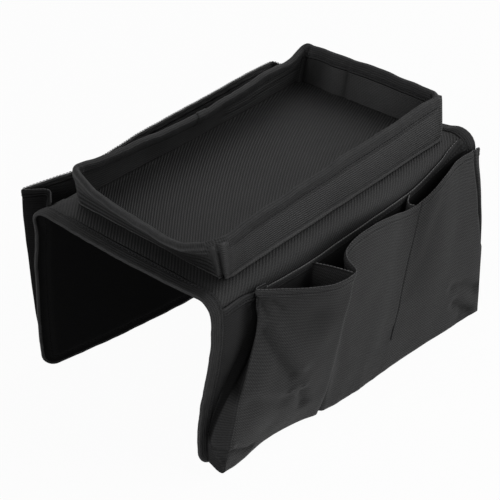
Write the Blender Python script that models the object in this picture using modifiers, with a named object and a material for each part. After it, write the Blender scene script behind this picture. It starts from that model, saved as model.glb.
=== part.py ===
"""Sofa armrest organizer: a stiffened saddle that carries a tray, with a pocketed flap on each side.

Metres, +Z up. The origin is the middle of the saddle's underside, the face that rests on the
armrest. +X is the side with three pockets, -Y is the end of the armrest that faces into the room.
Fabric is built flat as a grid, laid out in space by a function, and then given its thickness.
"""
import math

import bmesh
import bpy
from mathutils import Vector

# Overall sizes
saddle_width = 0.192
saddle_length = 0.320
flap_drop = 0.169
fold_radius = 0.014

# Layers of the saddle and of the flaps
cover_thickness = 0.0010
board_thickness = 0.0020
lining_thickness = 0.0008
layer_gap = 0.0004
board_inset = 0.0130
board_fold_gap = 0.0020
lining_step = 0.0012
lining_ramp = 0.0040

# Binding tape that closes the edges
tape_thickness = 0.0007
tape_width = 0.0110
flap_corner_radius = 0.0150

# How each flap hangs: distance outward of its foot at the front end, the middle and the rear end
right_flap_lean_front = -0.019
right_flap_lean_middle = -0.006
right_flap_lean_rear = 0.008
left_flap_lean_front = 0.014
left_flap_lean_middle = -0.012
left_flap_lean_rear = -0.016
right_shoulder_share = 0.0
left_shoulder_share = 0.4
shoulder_end_share = 0.30
lean_start_share = 0.05
lean_end_share = 0.85

# Tray
tray_side_margin = 0.016
tray_end_margin = 0.0245
tray_offset_x = 0.0034
tray_offset_y = 0.0027
tray_wall_length = 0.039
tray_corner_radius = 0.009
tray_skin_thickness = 0.0008
tray_board_thickness = 0.0010
tray_floor_board_thickness = 0.0020
wall_board_lift = 0.0020
tray_corner_gap = 0.0015
wall_layer_gap = 0.0006
tray_floor_margin = 0.0040
tray_front_bow = 0.0172
tray_rear_bow = 0.007
tray_left_bow = -0.012
tray_right_bow = 0.0
wall_curve_share = 0.35
rim_tape_width = 0.0100
piping_radius = 0.0013
corner_seam_width = 0.0040
corner_seam_stand = 0.0022
corner_seam_thickness = 0.0016

# Pockets
pocket_thickness = 0.0012
gusset_thickness = 0.0008
pocket_depth = 0.040
pocket_base_lift = 0.0040
pocket_foot_lap = 0.0020
right_hem_drop_end = 0.009
right_hem_drop_middle = 0.019
left_pocket_foot_depth = 0.014
seam_clearance = 0.0004

# Steps of the meshes
flap_rows = 8
flap_columns = 12
corner_steps = 3
wall_steps = 9
wall_rows = 5
arc_steps = 2
fold_steps = 5
pocket_rows = 7
weld_distance = 0.00001
probe_length = 0.0010
probe_share = 0.01

# Where each tray corner's rim stands from its base, in shares of the wall's length
corner_lean_shares = {
    "front_left": (0.17, -0.20),
    "front_right": (0.08, -0.18),
    "rear_right": (-0.15, -0.03),
    "rear_left": (0.12, 0.02),
}
# How far the bow of the front wall has grown at each share of its way
front_bow_shares = (
    (0.0, 0.0),
    (0.115, 0.34),
    (0.23, 0.63),
    (0.375, 0.78),
    (0.55, 0.94),
    (0.73, 1.0),
    (0.865, 0.88),
    (0.97, 0.5),
    (1.0, 0.0),
)
even_bow_shares = ((0.0, 0.0), (0.15, 0.42), (0.35, 0.85), (0.5, 1.0), (0.65, 0.92), (0.85, 0.5), (1.0, 0.0))

# The right pocket's front panel. Each row is one place on it: at the mouth its share along the
# saddle, outward in pocket depths and down in flap drops, then at the foot the same three.
right_pocket_shares = (
    (-0.3625, 0.15, 0.065, -0.4860, 0.02, 0.965),
    (-0.3125, 0.42, 0.077, -0.4150, 0.00, 0.958),
    (-0.2625, 0.75, 0.083, -0.3350, 0.02, 0.938),
    (-0.2060, 0.97, 0.089, -0.2450, 0.12, 0.953),
    (-0.1480, 0.96, 0.089, -0.1600, 0.25, 0.966),
    (-0.1230, 0.68, 0.060, -0.1250, 0.30, 0.967),
    (-0.0780, 0.50, 0.030, -0.0750, 0.37, 0.968),
    (0.0100, 0.48, 0.032, -0.0300, 0.42, 0.969),
    (0.0950, 0.42, 0.070, 0.0000, 0.44, 0.970),
    (0.1650, 0.30, 0.125, 0.0350, 0.45, 0.972),
    (0.2300, 0.28, 0.142, 0.0670, 0.46, 0.974),
    (0.2780, 0.36, 0.100, 0.1300, 0.49, 0.979),
    (0.3300, 0.37, 0.055, 0.2200, 0.56, 0.984),
    (0.4000, 0.28, 0.038, 0.3500, 0.675, 0.990),
    (0.4940, 0.25, 0.060, 0.4800, 0.75, 0.998),
)
divider_row = 4
stitch_row = 10
stitch_end_share = 0.80
pocket_belly_share = 0.10
pocket_turn_power = 1.7
base_margin_share = 0.05

# The left pocket's front panel at its mouth: share along the saddle, outward in pocket depths
left_pocket_shares = (
    (-0.4680, 0.72),
    (-0.4100, 0.64),
    (-0.3280, 0.48),
    (-0.1850, 0.46),
    (0.0000, 0.54),
    (0.2050, 0.66),
    (0.3900, 0.69),
    (0.4900, 0.68),
)
left_mouth_drop_share = 0.012
left_foot_drop_share = 0.965

# Front gussets. Along the saddle at the flap seam and at the inward fold, at the mouth and the foot
right_gusset_seam_shares = (-0.400, -0.478)
right_gusset_fold_shares = (-0.320, -0.498)
left_gusset_seam_shares = (-0.455, -0.478)
left_gusset_fold_shares = (-0.412, -0.470)
rear_gusset_seam_share = 0.470
rear_gusset_fold_share = 0.490

# Worked out from the sizes above
stack_height = cover_thickness + board_thickness + lining_thickness + layer_gap + layer_gap
half_width = saddle_width / 2
half_length = saddle_length / 2
tray_half_width = half_width - tray_side_margin
tray_half_length = half_length - tray_end_margin
flap_length = flap_drop - fold_radius
tape_stand = layer_gap + tape_thickness
sheet_inset = tape_stand
wall_thickness = 2 * tray_skin_thickness + tray_board_thickness + 2 * wall_layer_gap
tray_foot = stack_height + layer_gap

fabric_color = (0.026, 0.026, 0.027, 1.0)
lining_color = (0.008, 0.008, 0.008, 1.0)
tape_color = (0.022, 0.022, 0.023, 1.0)
board_color = (0.30, 0.30, 0.30, 1.0)

for old in list(bpy.data.objects):
    bpy.data.objects.remove(old, do_unlink=True)

parts = bpy.data.collections.new("sofa_armrest_organizer")
bpy.context.scene.collection.children.link(parts)


def finish(name, color, roughness):
    """A plain material in the part's own colour."""
    material = bpy.data.materials.new(name)
    material.use_nodes = True
    shader = material.node_tree.nodes["Principled BSDF"]
    shader.inputs["Base Color"].default_value = color
    shader.inputs["Roughness"].default_value = roughness
    shader.inputs["Metallic"].default_value = 0.0
    return material


oxford = finish("oxford_fabric", fabric_color, 0.75)
lining_cloth = finish("lining_fabric", lining_color, 0.85)
tape = finish("binding_tape", tape_color, 0.8)
stiffener = finish("stiffener_board", board_color, 0.6)


def mix(a, b, share):
    """The value that lies the given share of the way from a to b."""
    return a + (b - a) * share


def ease(share):
    """A share that starts and ends gently, kept between 0 and 1."""
    kept = min(max(share, 0.0), 1.0)
    return kept * kept * (3.0 - 2.0 * kept)


def read_table(rows, at, column=1):
    """The value of one column of a table at the given place in its first column."""
    if at <= rows[0][0]:
        return rows[0][column]
    for low, high in zip(rows, rows[1:]):
        if at <= high[0]:
            return mix(low[column], high[column], (at - low[0]) / (high[0] - low[0]))
    return rows[-1][column]


def sheet(name, columns, rows, place, thickness, material, outward, closed=False, side=-1.0):
    """A piece of fabric or board: a grid laid out by place(column, row), then thickened."""
    shape = bmesh.new()
    bmesh.ops.create_grid(shape, x_segments=columns, y_segments=rows, size=1.0)
    for vert in shape.verts:
        column = round((vert.co.x + 1.0) / 2.0 * columns)
        row = round((vert.co.y + 1.0) / 2.0 * rows)
        vert.co = place(column, row)
    if closed:
        bmesh.ops.remove_doubles(shape, verts=shape.verts, dist=weld_distance)
    shape.normal_update()
    facing = sum((face.normal * face.calc_area() for face in shape.faces), Vector())
    if facing.dot(Vector(outward)) < 0.0:
        bmesh.ops.reverse_faces(shape, faces=shape.faces)
    mesh = bpy.data.meshes.new(name)
    shape.to_mesh(mesh)
    shape.free()
    mesh.materials.append(material)
    mesh.shade_smooth()
    piece = bpy.data.objects.new(name, mesh)
    parts.objects.link(piece)
    skin = piece.modifiers.new("thickness", "SOLIDIFY")
    skin.thickness = thickness
    skin.offset = side
    skin.use_even_offset = True
    return piece


def stand_off(surface, p, q, step_p, step_q, out):
    """A point that stands off a surface along its normal."""
    across = surface(p + step_p, q) - surface(p - step_p, q)
    up = surface(p, q + step_q) - surface(p, q - step_q)
    return surface(p, q) + across.cross(up).normalized() * out


# Top of the saddle
def top_panel():
    """The saddle's top: cover, board and lining, with bound ends."""
    reach = half_width - fold_radius - layer_gap / 2
    end = half_length - sheet_inset

    def cover_place(column, row):
        return Vector((mix(-reach, reach, column), mix(-end, end, row), stack_height))

    sheet("top_cover", 1, 1, cover_place, cover_thickness, oxford, (0, 0, 1))

    board_reach = reach - board_fold_gap
    board_end = half_length - board_inset - lining_ramp
    board_top = stack_height - cover_thickness - layer_gap

    def board_place(column, row):
        return Vector((mix(-board_reach, board_reach, column), mix(-board_end, board_end, row), board_top))

    sheet("top_board", 1, 1, board_place, board_thickness, stiffener, (0, 0, 1))

    ramp_start = board_end + layer_gap
    ramp_end = ramp_start + lining_ramp
    profile = (
        (-end, lining_step),
        (-ramp_end, lining_step),
        (-ramp_start, 0),
        (ramp_start, 0),
        (ramp_end, lining_step),
        (end, lining_step),
    )

    def lining_place(column, row):
        y, z = profile[row]
        return Vector((mix(-reach, reach, column), y, z))

    sheet("top_lining", 1, len(profile) - 1, lining_place, lining_thickness, lining_cloth, (0, 0, -1))

    tape_top = stack_height + tape_stand
    tape_bottom = lining_step - tape_stand
    for name, sign in (("front", -1), ("rear", 1)):
        edge = sign * half_length
        leg = sign * (half_length - tape_width)
        fold = ((leg, tape_top), (edge, tape_top), (edge, tape_bottom), (leg, tape_bottom))

        def tape_place(column, row, fold=fold):
            y, z = fold[row]
            return Vector((mix(-reach, reach, column), y, z))

        sheet(f"top_binding_{name}", 1, 3, tape_place, tape_thickness, tape, (0, sign, 0))


# Flaps
def flap_lean(side, along, down):
    """How far a flap's face stands outward of the saddle's edge."""
    if side > 0:
        front, middle, rear = right_flap_lean_front, right_flap_lean_middle, right_flap_lean_rear
        shoulder = right_shoulder_share
    else:
        front, middle, rear = left_flap_lean_front, left_flap_lean_middle, left_flap_lean_rear
        shoulder = left_shoulder_share
    way = along / saddle_length + 0.5
    foot = front * (1 - way) * (1 - 2 * way) + middle * 4 * way * (1 - way) + rear * way * (2 * way - 1)
    depth = down / flap_length
    upper = ease(depth / shoulder_end_share)
    lower = ease((depth - lean_start_share) / (lean_end_share - lean_start_share))
    return foot * (shoulder * upper + (1 - shoulder) * lower)


def flap_surface(side):
    """The outer face of a flap, as a function of the way along the saddle and down from its fold."""

    def surface(along, down):
        x = half_width + flap_lean(side, along, down)
        return Vector((side * x, along, stack_height - fold_radius - down))

    return surface


def flap_point(side, along, down, out):
    """A point on a flap, or the given distance outward of its face."""
    surface = flap_surface(side)
    return stand_off(surface, along, down, -side * probe_length, probe_length, out)


def flap_columns_along(inset, radius):
    """Places along a flap with its lowest point there, so that the foot's corners are round."""
    reach = half_length - inset
    foot = flap_length - inset
    columns = []
    for step in range(corner_steps):
        turn = math.pi / 2 * (1 - step / corner_steps)
        columns.append((-reach + radius - radius * math.sin(turn), foot - radius + radius * math.cos(turn)))
    for step in range(flap_columns + 1):
        columns.append((mix(-reach + radius, reach - radius, step / flap_columns), foot))
    for step in range(1, corner_steps + 1):
        turn = math.pi / 2 * step / corner_steps
        columns.append((reach - radius + radius * math.sin(turn), foot - radius + radius * math.cos(turn)))
    return columns


def flap_level(row, start, foot):
    """How far down a row of a flap lies. All its layers share these levels, so their faces stay parallel."""
    if row == flap_rows:
        return foot
    level_end = flap_length - 2 * flap_corner_radius
    return max(level_end * row / (flap_rows - 1), start)


def flap_layer(name, side, inset, radius, start, out, thickness, material, face_sign):
    """One layer of a flap. out is the offset of the face that the thickness is measured from."""
    columns = flap_columns_along(inset, radius)

    def place(column, row):
        along, foot = columns[column]
        return flap_point(side, along, flap_level(row, start, foot), out)

    outward = (side * face_sign, 0, 0)
    return sheet(name, len(columns) - 1, flap_rows, place, thickness, material, outward)


def binding_path(inset_start):
    """Points round a flap's edge with the direction that faces away from the flap there."""
    path = []
    upright = flap_length - flap_corner_radius
    for step in range(flap_rows):
        path.append((-half_length, flap_level(step, inset_start, upright), -1, 0))
    for step in range(corner_steps):
        turn = math.pi / 2 * step / corner_steps
        path.append((
            -half_length + flap_corner_radius - flap_corner_radius * math.cos(turn),
            upright + flap_corner_radius * math.sin(turn),
            -math.cos(turn),
            math.sin(turn),
        ))
    for step in range(flap_columns):
        reach = half_length - flap_corner_radius
        path.append((mix(-reach, reach, step / flap_columns), flap_length, 0, 1))
    for step in range(corner_steps):
        turn = math.pi / 2 * step / corner_steps
        path.append((
            half_length - flap_corner_radius + flap_corner_radius * math.sin(turn),
            upright + flap_corner_radius * math.cos(turn),
            math.sin(turn),
            math.cos(turn),
        ))
    for step in range(flap_rows, -1, -1):
        path.append((half_length, flap_level(step, inset_start, upright), 1, 0))
    return path


def flap(name, side):
    """A flap's cover, board and lining, and the tape that binds its free edges."""
    start = layer_gap / 2
    radius = flap_corner_radius - sheet_inset
    flap_layer(f"{name}_cover", side, sheet_inset, radius, start, 0, cover_thickness, oxford, 1)
    board_out = -cover_thickness - layer_gap
    board_radius = fold_radius / 2
    board_start = start + board_fold_gap
    board = f"{name}_board"
    flap_layer(board, side, board_inset, board_radius, board_start, board_out, board_thickness, stiffener, 1)
    lining = f"{name}_lining"
    flap_layer(lining, side, sheet_inset, radius, start, -stack_height, lining_thickness, lining_cloth, -1)
    path = binding_path(start)
    high = tape_stand
    low = -stack_height - tape_stand
    fold = ((tape_width, high), (0, high), (0, low), (tape_width, low))

    def place(column, row):
        along, down, away_along, away_down = path[column]
        inset, out = fold[row]
        return flap_point(side, along - away_along * inset, down - away_down * inset, out)

    sheet(f"{name}_binding", len(path) - 1, 3, place, tape_thickness, tape, (0, 0, -1))


# Soft folds between the saddle and the flaps
def fold_point(side, turn, radius, along):
    """A point of the bend, turned from the top round to the flap."""
    x = half_width - fold_radius + radius * math.sin(turn)
    z = stack_height - fold_radius + radius * math.cos(turn)
    return Vector((side * x, along, z))


def soft_fold(name, side):
    """The unstiffened bend: cover, lining and the binding at both ends."""
    trim = layer_gap / 2 / fold_radius
    end = half_length - sheet_inset
    outward = (side, 0, 1)

    def turn_at(step):
        return mix(trim, math.pi / 2 - trim, step / fold_steps)

    def cover_place(column, row):
        return fold_point(side, turn_at(column), fold_radius, mix(-end, end, row))

    sheet(f"{name}_fold_cover", fold_steps, 1, cover_place, cover_thickness, oxford, outward)
    lining_radius = fold_radius - stack_height

    def lining_place(column, row):
        return fold_point(side, turn_at(column), lining_radius, mix(-end, end, row))

    inward = (-side, 0, -1)
    sheet(f"{name}_fold_lining", fold_steps, 1, lining_place, lining_thickness, lining_cloth, inward)
    high = fold_radius + tape_stand
    low = fold_radius - stack_height - tape_stand
    for end_name, sign in (("front", -1), ("rear", 1)):
        leg = sign * (half_length - tape_width)
        edge = sign * half_length
        section = ((leg, high), (edge, high), (edge, low), (leg, low))

        def tape_place(column, row, section=section):
            along, radius = section[row]
            return fold_point(side, turn_at(column), radius, along)

        sheet(
            f"{name}_fold_binding_{end_name}", fold_steps, 3, tape_place, tape_thickness, tape, (0, sign, 0)
        )


# Tray
tray_sides = ("front", "right", "rear", "left")
side_directions = {
    "front": (Vector((1, 0, 0)), Vector((0, -1, 0))),
    "right": (Vector((0, 1, 0)), Vector((1, 0, 0))),
    "rear": (Vector((-1, 0, 0)), Vector((0, 1, 0))),
    "left": (Vector((0, -1, 0)), Vector((-1, 0, 0))),
}
side_corners = {
    "front": ("front_left", "front_right"),
    "right": ("front_right", "rear_right"),
    "rear": ("rear_right", "rear_left"),
    "left": ("rear_left", "front_left"),
}
side_bows = {
    "front": (tray_front_bow, front_bow_shares),
    "right": (tray_right_bow, even_bow_shares),
    "rear": (tray_rear_bow, even_bow_shares),
    "left": (tray_left_bow, even_bow_shares),
}
tray_centre = Vector((tray_offset_x, tray_offset_y, 0))


def side_sizes(side):
    """Half the length of a tray side, and its distance from the tray's middle."""
    if side in ("front", "rear"):
        return tray_half_width, tray_half_length
    return tray_half_length, tray_half_width


def side_stations(side):
    """Distances along a tray side, from the middle of one corner to the middle of the next."""
    half, _ = side_sizes(side)
    arc = tray_corner_radius * math.pi / 4
    run = 2 * (half - tray_corner_radius)
    stations = [arc * step / arc_steps for step in range(arc_steps)]
    stations += [arc + run * step / wall_steps for step in range(wall_steps + 1)]
    stations += [arc + run + arc * step / arc_steps for step in range(1, arc_steps + 1)]
    return stations


def wall_surface(side):
    """The outer face of a tray wall, by the distance along its side and the share of its height."""
    along, out = side_directions[side]
    half, away = side_sizes(side)
    arc = tray_corner_radius * math.pi / 4
    run = 2 * (half - tray_corner_radius)
    total = run + 2 * arc
    first, last = side_corners[side]
    start_lean = Vector((*corner_lean_shares[first], 0)) * tray_wall_length
    end_lean = Vector((*corner_lean_shares[last], 0)) * tray_wall_length
    bow, bow_shares = side_bows[side]

    def surface(distance, height):
        straight = min(max(distance - arc, 0), run)
        turn = (distance - arc - straight) / tray_corner_radius
        centre = along * (straight - run / 2) + out * (away - tray_corner_radius)
        base = centre + (along * math.sin(turn) + out * math.cos(turn)) * tray_corner_radius
        way = distance / total
        lean = start_lean.lerp(end_lean, way) + out * bow * read_table(bow_shares, way)
        rise = math.sqrt(max(tray_wall_length**2 - lean.length_squared, 0))
        bent = height * mix(1, height, wall_curve_share)
        return tray_centre + base + lean * bent + Vector((0, 0, tray_foot + rise * height))

    return surface


def wall_point(side, distance, height, out):
    """A point on a tray wall, or the given distance outward of its outer face."""
    return stand_off(wall_surface(side), distance, height, probe_length, probe_share, out)


def tray_wall(side):
    """One wall: a sleeve of fabric, open below, with a thin board inside."""
    stations = side_stations(side)
    stations[0] += tray_corner_gap
    stations[-1] -= tray_corner_gap
    rise_shares = [row / wall_rows for row in range(wall_rows + 1)]
    section = [(share, 0) for share in rise_shares]
    section += [(share, -wall_thickness) for share in reversed(rise_shares)]

    def sleeve_place(column, row):
        height, out = section[row]
        point = wall_point(side, stations[column], height, out)
        if height == 0:
            point.z = tray_foot + layer_gap
        return point

    last_station = len(stations) - 1
    last_row = len(section) - 1
    sheet(f"tray_{side}_wall", last_station, last_row, sleeve_place, tray_skin_thickness, oxford, (0, 0, 1))
    board_out = -tray_skin_thickness - wall_layer_gap
    low = wall_board_lift / tray_wall_length
    high = 1 - (tray_skin_thickness + wall_layer_gap) / tray_wall_length
    inner = stations[arc_steps + 1 : -arc_steps - 1]

    def board_place(column, row):
        return wall_point(side, inner[column], min(max(row / wall_rows, low), high), board_out)

    outward = side_directions[side][1]
    name = f"tray_{side}_wall_board"
    sheet(name, len(inner) - 1, wall_rows, board_place, tray_board_thickness, stiffener, outward)


def tray_rim():
    """The tape folded over the rim, one ring round the tray."""
    ring = [(side, distance) for side in tray_sides for distance in side_stations(side)[:-1]]
    stand = wall_layer_gap + tape_thickness
    high = 1 + stand / tray_wall_length
    low = 1 - (rim_tape_width - stand) / tray_wall_length
    outer = stand
    inner = -wall_thickness - stand
    section = ((low, outer), (high, outer), (high, inner), (low, inner))

    def place(column, row):
        side, distance = ring[column % len(ring)]
        height, out = section[row]
        return wall_point(side, distance, height, out)

    sheet("tray_rim_binding", len(ring), 3, place, tape_thickness, tape, (0, 0, 1), closed=True)


def tray_corner_seams():
    """The raised seam between the ends of two walls at each corner, below the rim tape."""
    top = 1 - (rim_tape_width + layer_gap) / tray_wall_length
    low = (2 * piping_radius + 2 * layer_gap) / tray_wall_length
    for side in tray_sides:
        corner = side_corners[side][0]
        tangent = (side_directions[side][0] + side_directions[side][1]).normalized()

        def place(column, row, side=side, tangent=tangent):
            height = mix(low, top, row / wall_rows)
            sideways = tangent * mix(-0.5, 0.5, column) * corner_seam_thickness
            return wall_point(side, 0, height, corner_seam_stand) + sideways

        outward = side_directions[side][1] - side_directions[side][0]
        sheet(f"tray_corner_seam_{corner}", 1, wall_rows, place, corner_seam_width, oxford, outward)


def tray_floor():
    """The stiffened floor between the walls."""
    half_x = tray_half_width - wall_thickness - tray_floor_margin
    half_y = tray_half_length - wall_thickness - tray_floor_margin
    foot = stack_height + layer_gap + tray_floor_board_thickness

    def board_place(column, row):
        return tray_centre + Vector((mix(-half_x, half_x, column), mix(-half_y, half_y, row), foot))

    sheet("tray_floor_board", 1, 1, board_place, tray_floor_board_thickness, stiffener, (0, 0, 1))
    face = foot + layer_gap + cover_thickness

    def cover_place(column, row):
        return tray_centre + Vector((mix(-half_x, half_x, column), mix(-half_y, half_y, row), face))

    sheet("tray_floor_cover", 1, 1, cover_place, cover_thickness, oxford, (0, 0, 1))


def tray_piping():
    """The corded seam round the foot of the walls."""
    crest_share = 2 * piping_radius / tray_wall_length
    path = []
    for side in tray_sides:
        surface = wall_surface(side)
        for distance in side_stations(side)[:-1]:
            foot = surface(distance, 0)
            away = surface(distance + probe_length, 0) - surface(distance - probe_length, 0)
            away = away.cross(Vector((0, 0, 1))).normalized()
            bulge = max((surface(distance, crest_share) - foot).dot(away), 0)
            path.append(foot + away * (bulge + layer_gap + piping_radius) + Vector((0, 0, piping_radius)))
    curve = bpy.data.curves.new("tray_base_piping", "CURVE")
    curve.dimensions = "3D"
    curve.bevel_depth = piping_radius
    curve.bevel_resolution = 1
    spline = curve.splines.new("POLY")
    spline.points.add(len(path) - 1)
    for point, position in zip(spline.points, path):
        point.co = (*position, 1.0)
    spline.use_cyclic_u = True
    curve.materials.append(tape)
    parts.objects.link(bpy.data.objects.new("tray_base_piping", curve))


# Right pockets
def right_panel_point(place_share, down_share):
    """A point on the front panel's outer face, by the row number of its table and the share down."""
    low = min(int(place_share), len(right_pocket_shares) - 2)
    nearest = zip(right_pocket_shares[low], right_pocket_shares[low + 1])
    row = [mix(a, b, place_share - low) for a, b in nearest]
    mouth_along, mouth_out, mouth_down, foot_along, foot_out, foot_down = row
    power = mix(pocket_turn_power, 1.0, ease(place_share / divider_row))
    along = mix(mouth_along, foot_along, max(down_share, 0.0) ** power) * saddle_length
    belly = pocket_belly_share * 4 * down_share * (1 - down_share)
    out = (mix(mouth_out, foot_out, down_share) + belly) * pocket_depth
    down = mix(mouth_down, foot_down, down_share) * flap_drop
    return Vector((half_width + out, along, stack_height - down))


def right_panel_inside(place_share, down_share, clear):
    """A point behind the right front panel, the given clearance inside its inner face."""
    return stand_off(
        right_panel_point, place_share, down_share, probe_share, -probe_share, -pocket_thickness - clear
    )


def right_pocket():
    """Three pockets: a backing, one folded front panel, gussets, two dividers and a base."""
    last = len(right_pocket_shares) - 1

    def panel_place(column, row):
        return right_panel_point(column, row / pocket_rows)

    sheet("right_pocket_front", last, pocket_rows, panel_place, pocket_thickness, oxford, (1, 0, 0))

    reach = half_length - board_inset
    foot = flap_length - board_inset
    backing_out = layer_gap + cover_thickness

    def backing_place(column, row):
        along = mix(-reach, reach, column / flap_columns)
        bend = 1 - (along / half_length) ** 2
        start = mix(right_hem_drop_end, right_hem_drop_middle, bend) - fold_radius
        down = start if row == 0 else flap_level(row, start, foot)
        return flap_point(1, along, down, backing_out)

    sheet("right_pocket_backing", flap_columns, flap_rows, backing_place, cover_thickness, oxford, (1, 0, 0))

    seat = tape_stand + seam_clearance + gusset_thickness

    def base_place(column, row):
        share = min(max(column, base_margin_share), last - base_margin_share)
        outer = right_panel_inside(share, 1, seam_clearance)
        outer.z += pocket_foot_lap
        inner = flap_point(1, outer.y, flap_length - pocket_base_lift, seat)
        return inner.lerp(outer, row)

    sheet("right_pocket_base", last, 1, base_place, gusset_thickness, oxford, (0, 0, -1), side=1.0)

    gusset_foot_share = 1 - 3 * pocket_base_lift / flap_drop

    def front_gusset_place(column, row):
        share = row / pocket_rows * gusset_foot_share
        outer = right_panel_inside(0, share, seam_clearance + gusset_thickness / 2)
        down = stack_height - fold_radius - outer.z
        seam_along = mix(*right_gusset_seam_shares, ease(share)) * saddle_length
        inner = flap_point(1, seam_along, down, seat)
        fold_along = mix(*right_gusset_fold_shares, ease(share)) * saddle_length
        middle = inner.lerp(outer, 0.5)
        middle.y = fold_along
        return (inner, middle, outer)[column]

    name = "right_pocket_gusset_front"
    sheet(name, 2, pocket_rows, front_gusset_place, gusset_thickness, oxford, (0, -1, 0), side=0.0)

    def rear_gusset_place(column, row):
        share = row / pocket_rows * gusset_foot_share
        outer = right_panel_inside(last, share, seam_clearance + gusset_thickness / 2)
        down = stack_height - fold_radius - outer.z
        inner = flap_point(1, rear_gusset_seam_share * saddle_length, down, seat)
        middle = inner.lerp(outer, 0.5)
        middle.y = rear_gusset_fold_share * saddle_length
        return (inner, middle, outer)[column]

    name = "right_pocket_gusset_rear"
    sheet(name, 2, pocket_rows, rear_gusset_place, gusset_thickness, oxford, (0, 1, 0), side=0.0)

    def divider(name, table_row, foot_share):
        def place(column, row):
            share = mix(probe_share, foot_share, row / pocket_rows)
            outer = right_panel_inside(table_row, share, seam_clearance + gusset_thickness / 2)
            down = stack_height - fold_radius - outer.z
            inner = flap_point(1, outer.y, down, backing_out + seam_clearance)
            return inner.lerp(outer, column)

        sheet(name, 1, pocket_rows, place, gusset_thickness, oxford, (0, -1, 0), side=0.0)

    divider("right_pocket_divider_front", divider_row, gusset_foot_share)
    divider("right_pocket_divider_rear", stitch_row, stitch_end_share)


# Left pocket
def left_panel_point(along_share, down_share):
    """A point on the left front panel's outer face, by the share along the saddle and the share down."""
    along = along_share * saddle_length
    mouth_out = read_table(left_pocket_shares, along_share) * pocket_depth
    foot_out = flap_lean(-1, along, flap_length) + left_pocket_foot_depth
    out = mix(mouth_out, foot_out, down_share)
    down = mix(left_mouth_drop_share, left_foot_drop_share, down_share) * flap_drop
    return Vector((-half_width - out, along, stack_height - down))


def left_panel_inside(along_share, down_share, clear):
    """A point behind the left front panel, the given clearance inside its inner face."""
    out = -pocket_thickness - clear
    return stand_off(left_panel_point, along_share, down_share, probe_share, probe_share, out)


def left_pocket():
    """One long pocket: a front panel, two gussets and a base."""
    first = left_pocket_shares[0][0]
    last = left_pocket_shares[-1][0]

    def panel_place(column, row):
        return left_panel_point(mix(first, last, column / flap_columns), row / pocket_rows)

    sheet("left_pocket_front", flap_columns, pocket_rows, panel_place, pocket_thickness, oxford, (-1, 0, 0))

    seat = tape_stand + seam_clearance + gusset_thickness

    def base_place(column, row):
        share = mix(first + probe_share, last - probe_share, column / flap_columns)
        outer = left_panel_inside(share, 1, seam_clearance)
        outer.z += pocket_foot_lap
        inner = flap_point(-1, outer.y, flap_length - pocket_base_lift, seat)
        return inner.lerp(outer, row)

    sheet("left_pocket_base", flap_columns, 1, base_place, gusset_thickness, oxford, (0, 0, -1), side=1.0)

    gusset_foot_share = 1 - 3 * pocket_base_lift / flap_drop

    def gusset(name, panel_share, seam_shares, fold_shares, outward):
        def place(column, row):
            share = row / pocket_rows * gusset_foot_share
            outer = left_panel_inside(panel_share, share, seam_clearance + gusset_thickness / 2)
            down = stack_height - fold_radius - outer.z
            inner = flap_point(-1, mix(*seam_shares, share) * saddle_length, down, seat)
            middle = inner.lerp(outer, 0.5)
            middle.y = mix(*fold_shares, share) * saddle_length
            return (inner, middle, outer)[column]

        sheet(name, 2, pocket_rows, place, gusset_thickness, oxford, outward, side=0.0)

    gusset("left_pocket_gusset_front", first, left_gusset_seam_shares, left_gusset_fold_shares, (0, -1, 0))
    rear_seams = (rear_gusset_seam_share, rear_gusset_seam_share)
    rear_folds = (rear_gusset_fold_share, rear_gusset_fold_share)
    gusset("left_pocket_gusset_rear", last, rear_seams, rear_folds, (0, 1, 0))


top_panel()
for flap_name, flap_side in (("right_flap", 1), ("left_flap", -1)):
    flap(flap_name, flap_side)
for fold_name, fold_side in (("right", 1), ("left", -1)):
    soft_fold(fold_name, fold_side)
for tray_side in tray_sides:
    tray_wall(tray_side)
tray_floor()
tray_piping()
tray_rim()
tray_corner_seams()
right_pocket()
left_pocket()
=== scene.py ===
"""Looks of the sofa armrest organizer: cloth, tape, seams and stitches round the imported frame.

Everything is in metres in the frame's own axes: +Z up, +X towards the flap with three pockets, -Y towards
the front end. Cloth is laid out as a grid of points by numpy, pushed about by its folds, and then closed
into a sheet with a real thickness.
"""
import math

import bpy
import numpy as np
from mathutils import Matrix, Vector, noise


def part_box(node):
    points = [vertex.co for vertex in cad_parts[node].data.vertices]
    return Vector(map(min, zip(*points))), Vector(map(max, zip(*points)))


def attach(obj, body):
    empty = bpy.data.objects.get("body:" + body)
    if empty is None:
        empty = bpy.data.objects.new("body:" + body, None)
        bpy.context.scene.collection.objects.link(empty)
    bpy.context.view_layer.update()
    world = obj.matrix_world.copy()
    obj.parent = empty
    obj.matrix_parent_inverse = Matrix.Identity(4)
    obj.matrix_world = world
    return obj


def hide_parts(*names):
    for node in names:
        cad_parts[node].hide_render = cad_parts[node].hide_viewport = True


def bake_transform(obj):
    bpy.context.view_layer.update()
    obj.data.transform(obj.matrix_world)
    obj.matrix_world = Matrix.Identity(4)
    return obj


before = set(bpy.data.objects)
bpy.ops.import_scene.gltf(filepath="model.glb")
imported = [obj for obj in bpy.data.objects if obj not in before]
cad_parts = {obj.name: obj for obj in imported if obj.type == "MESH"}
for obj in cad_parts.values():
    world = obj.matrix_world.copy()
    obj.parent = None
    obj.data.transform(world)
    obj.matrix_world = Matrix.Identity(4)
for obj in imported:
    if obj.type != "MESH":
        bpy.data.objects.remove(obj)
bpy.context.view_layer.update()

# Sizes read from the frame
stack_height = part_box("top_cover")[1].z
half_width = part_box("right_fold_cover")[1].x
half_length = -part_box("top_binding_front")[0].y

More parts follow.
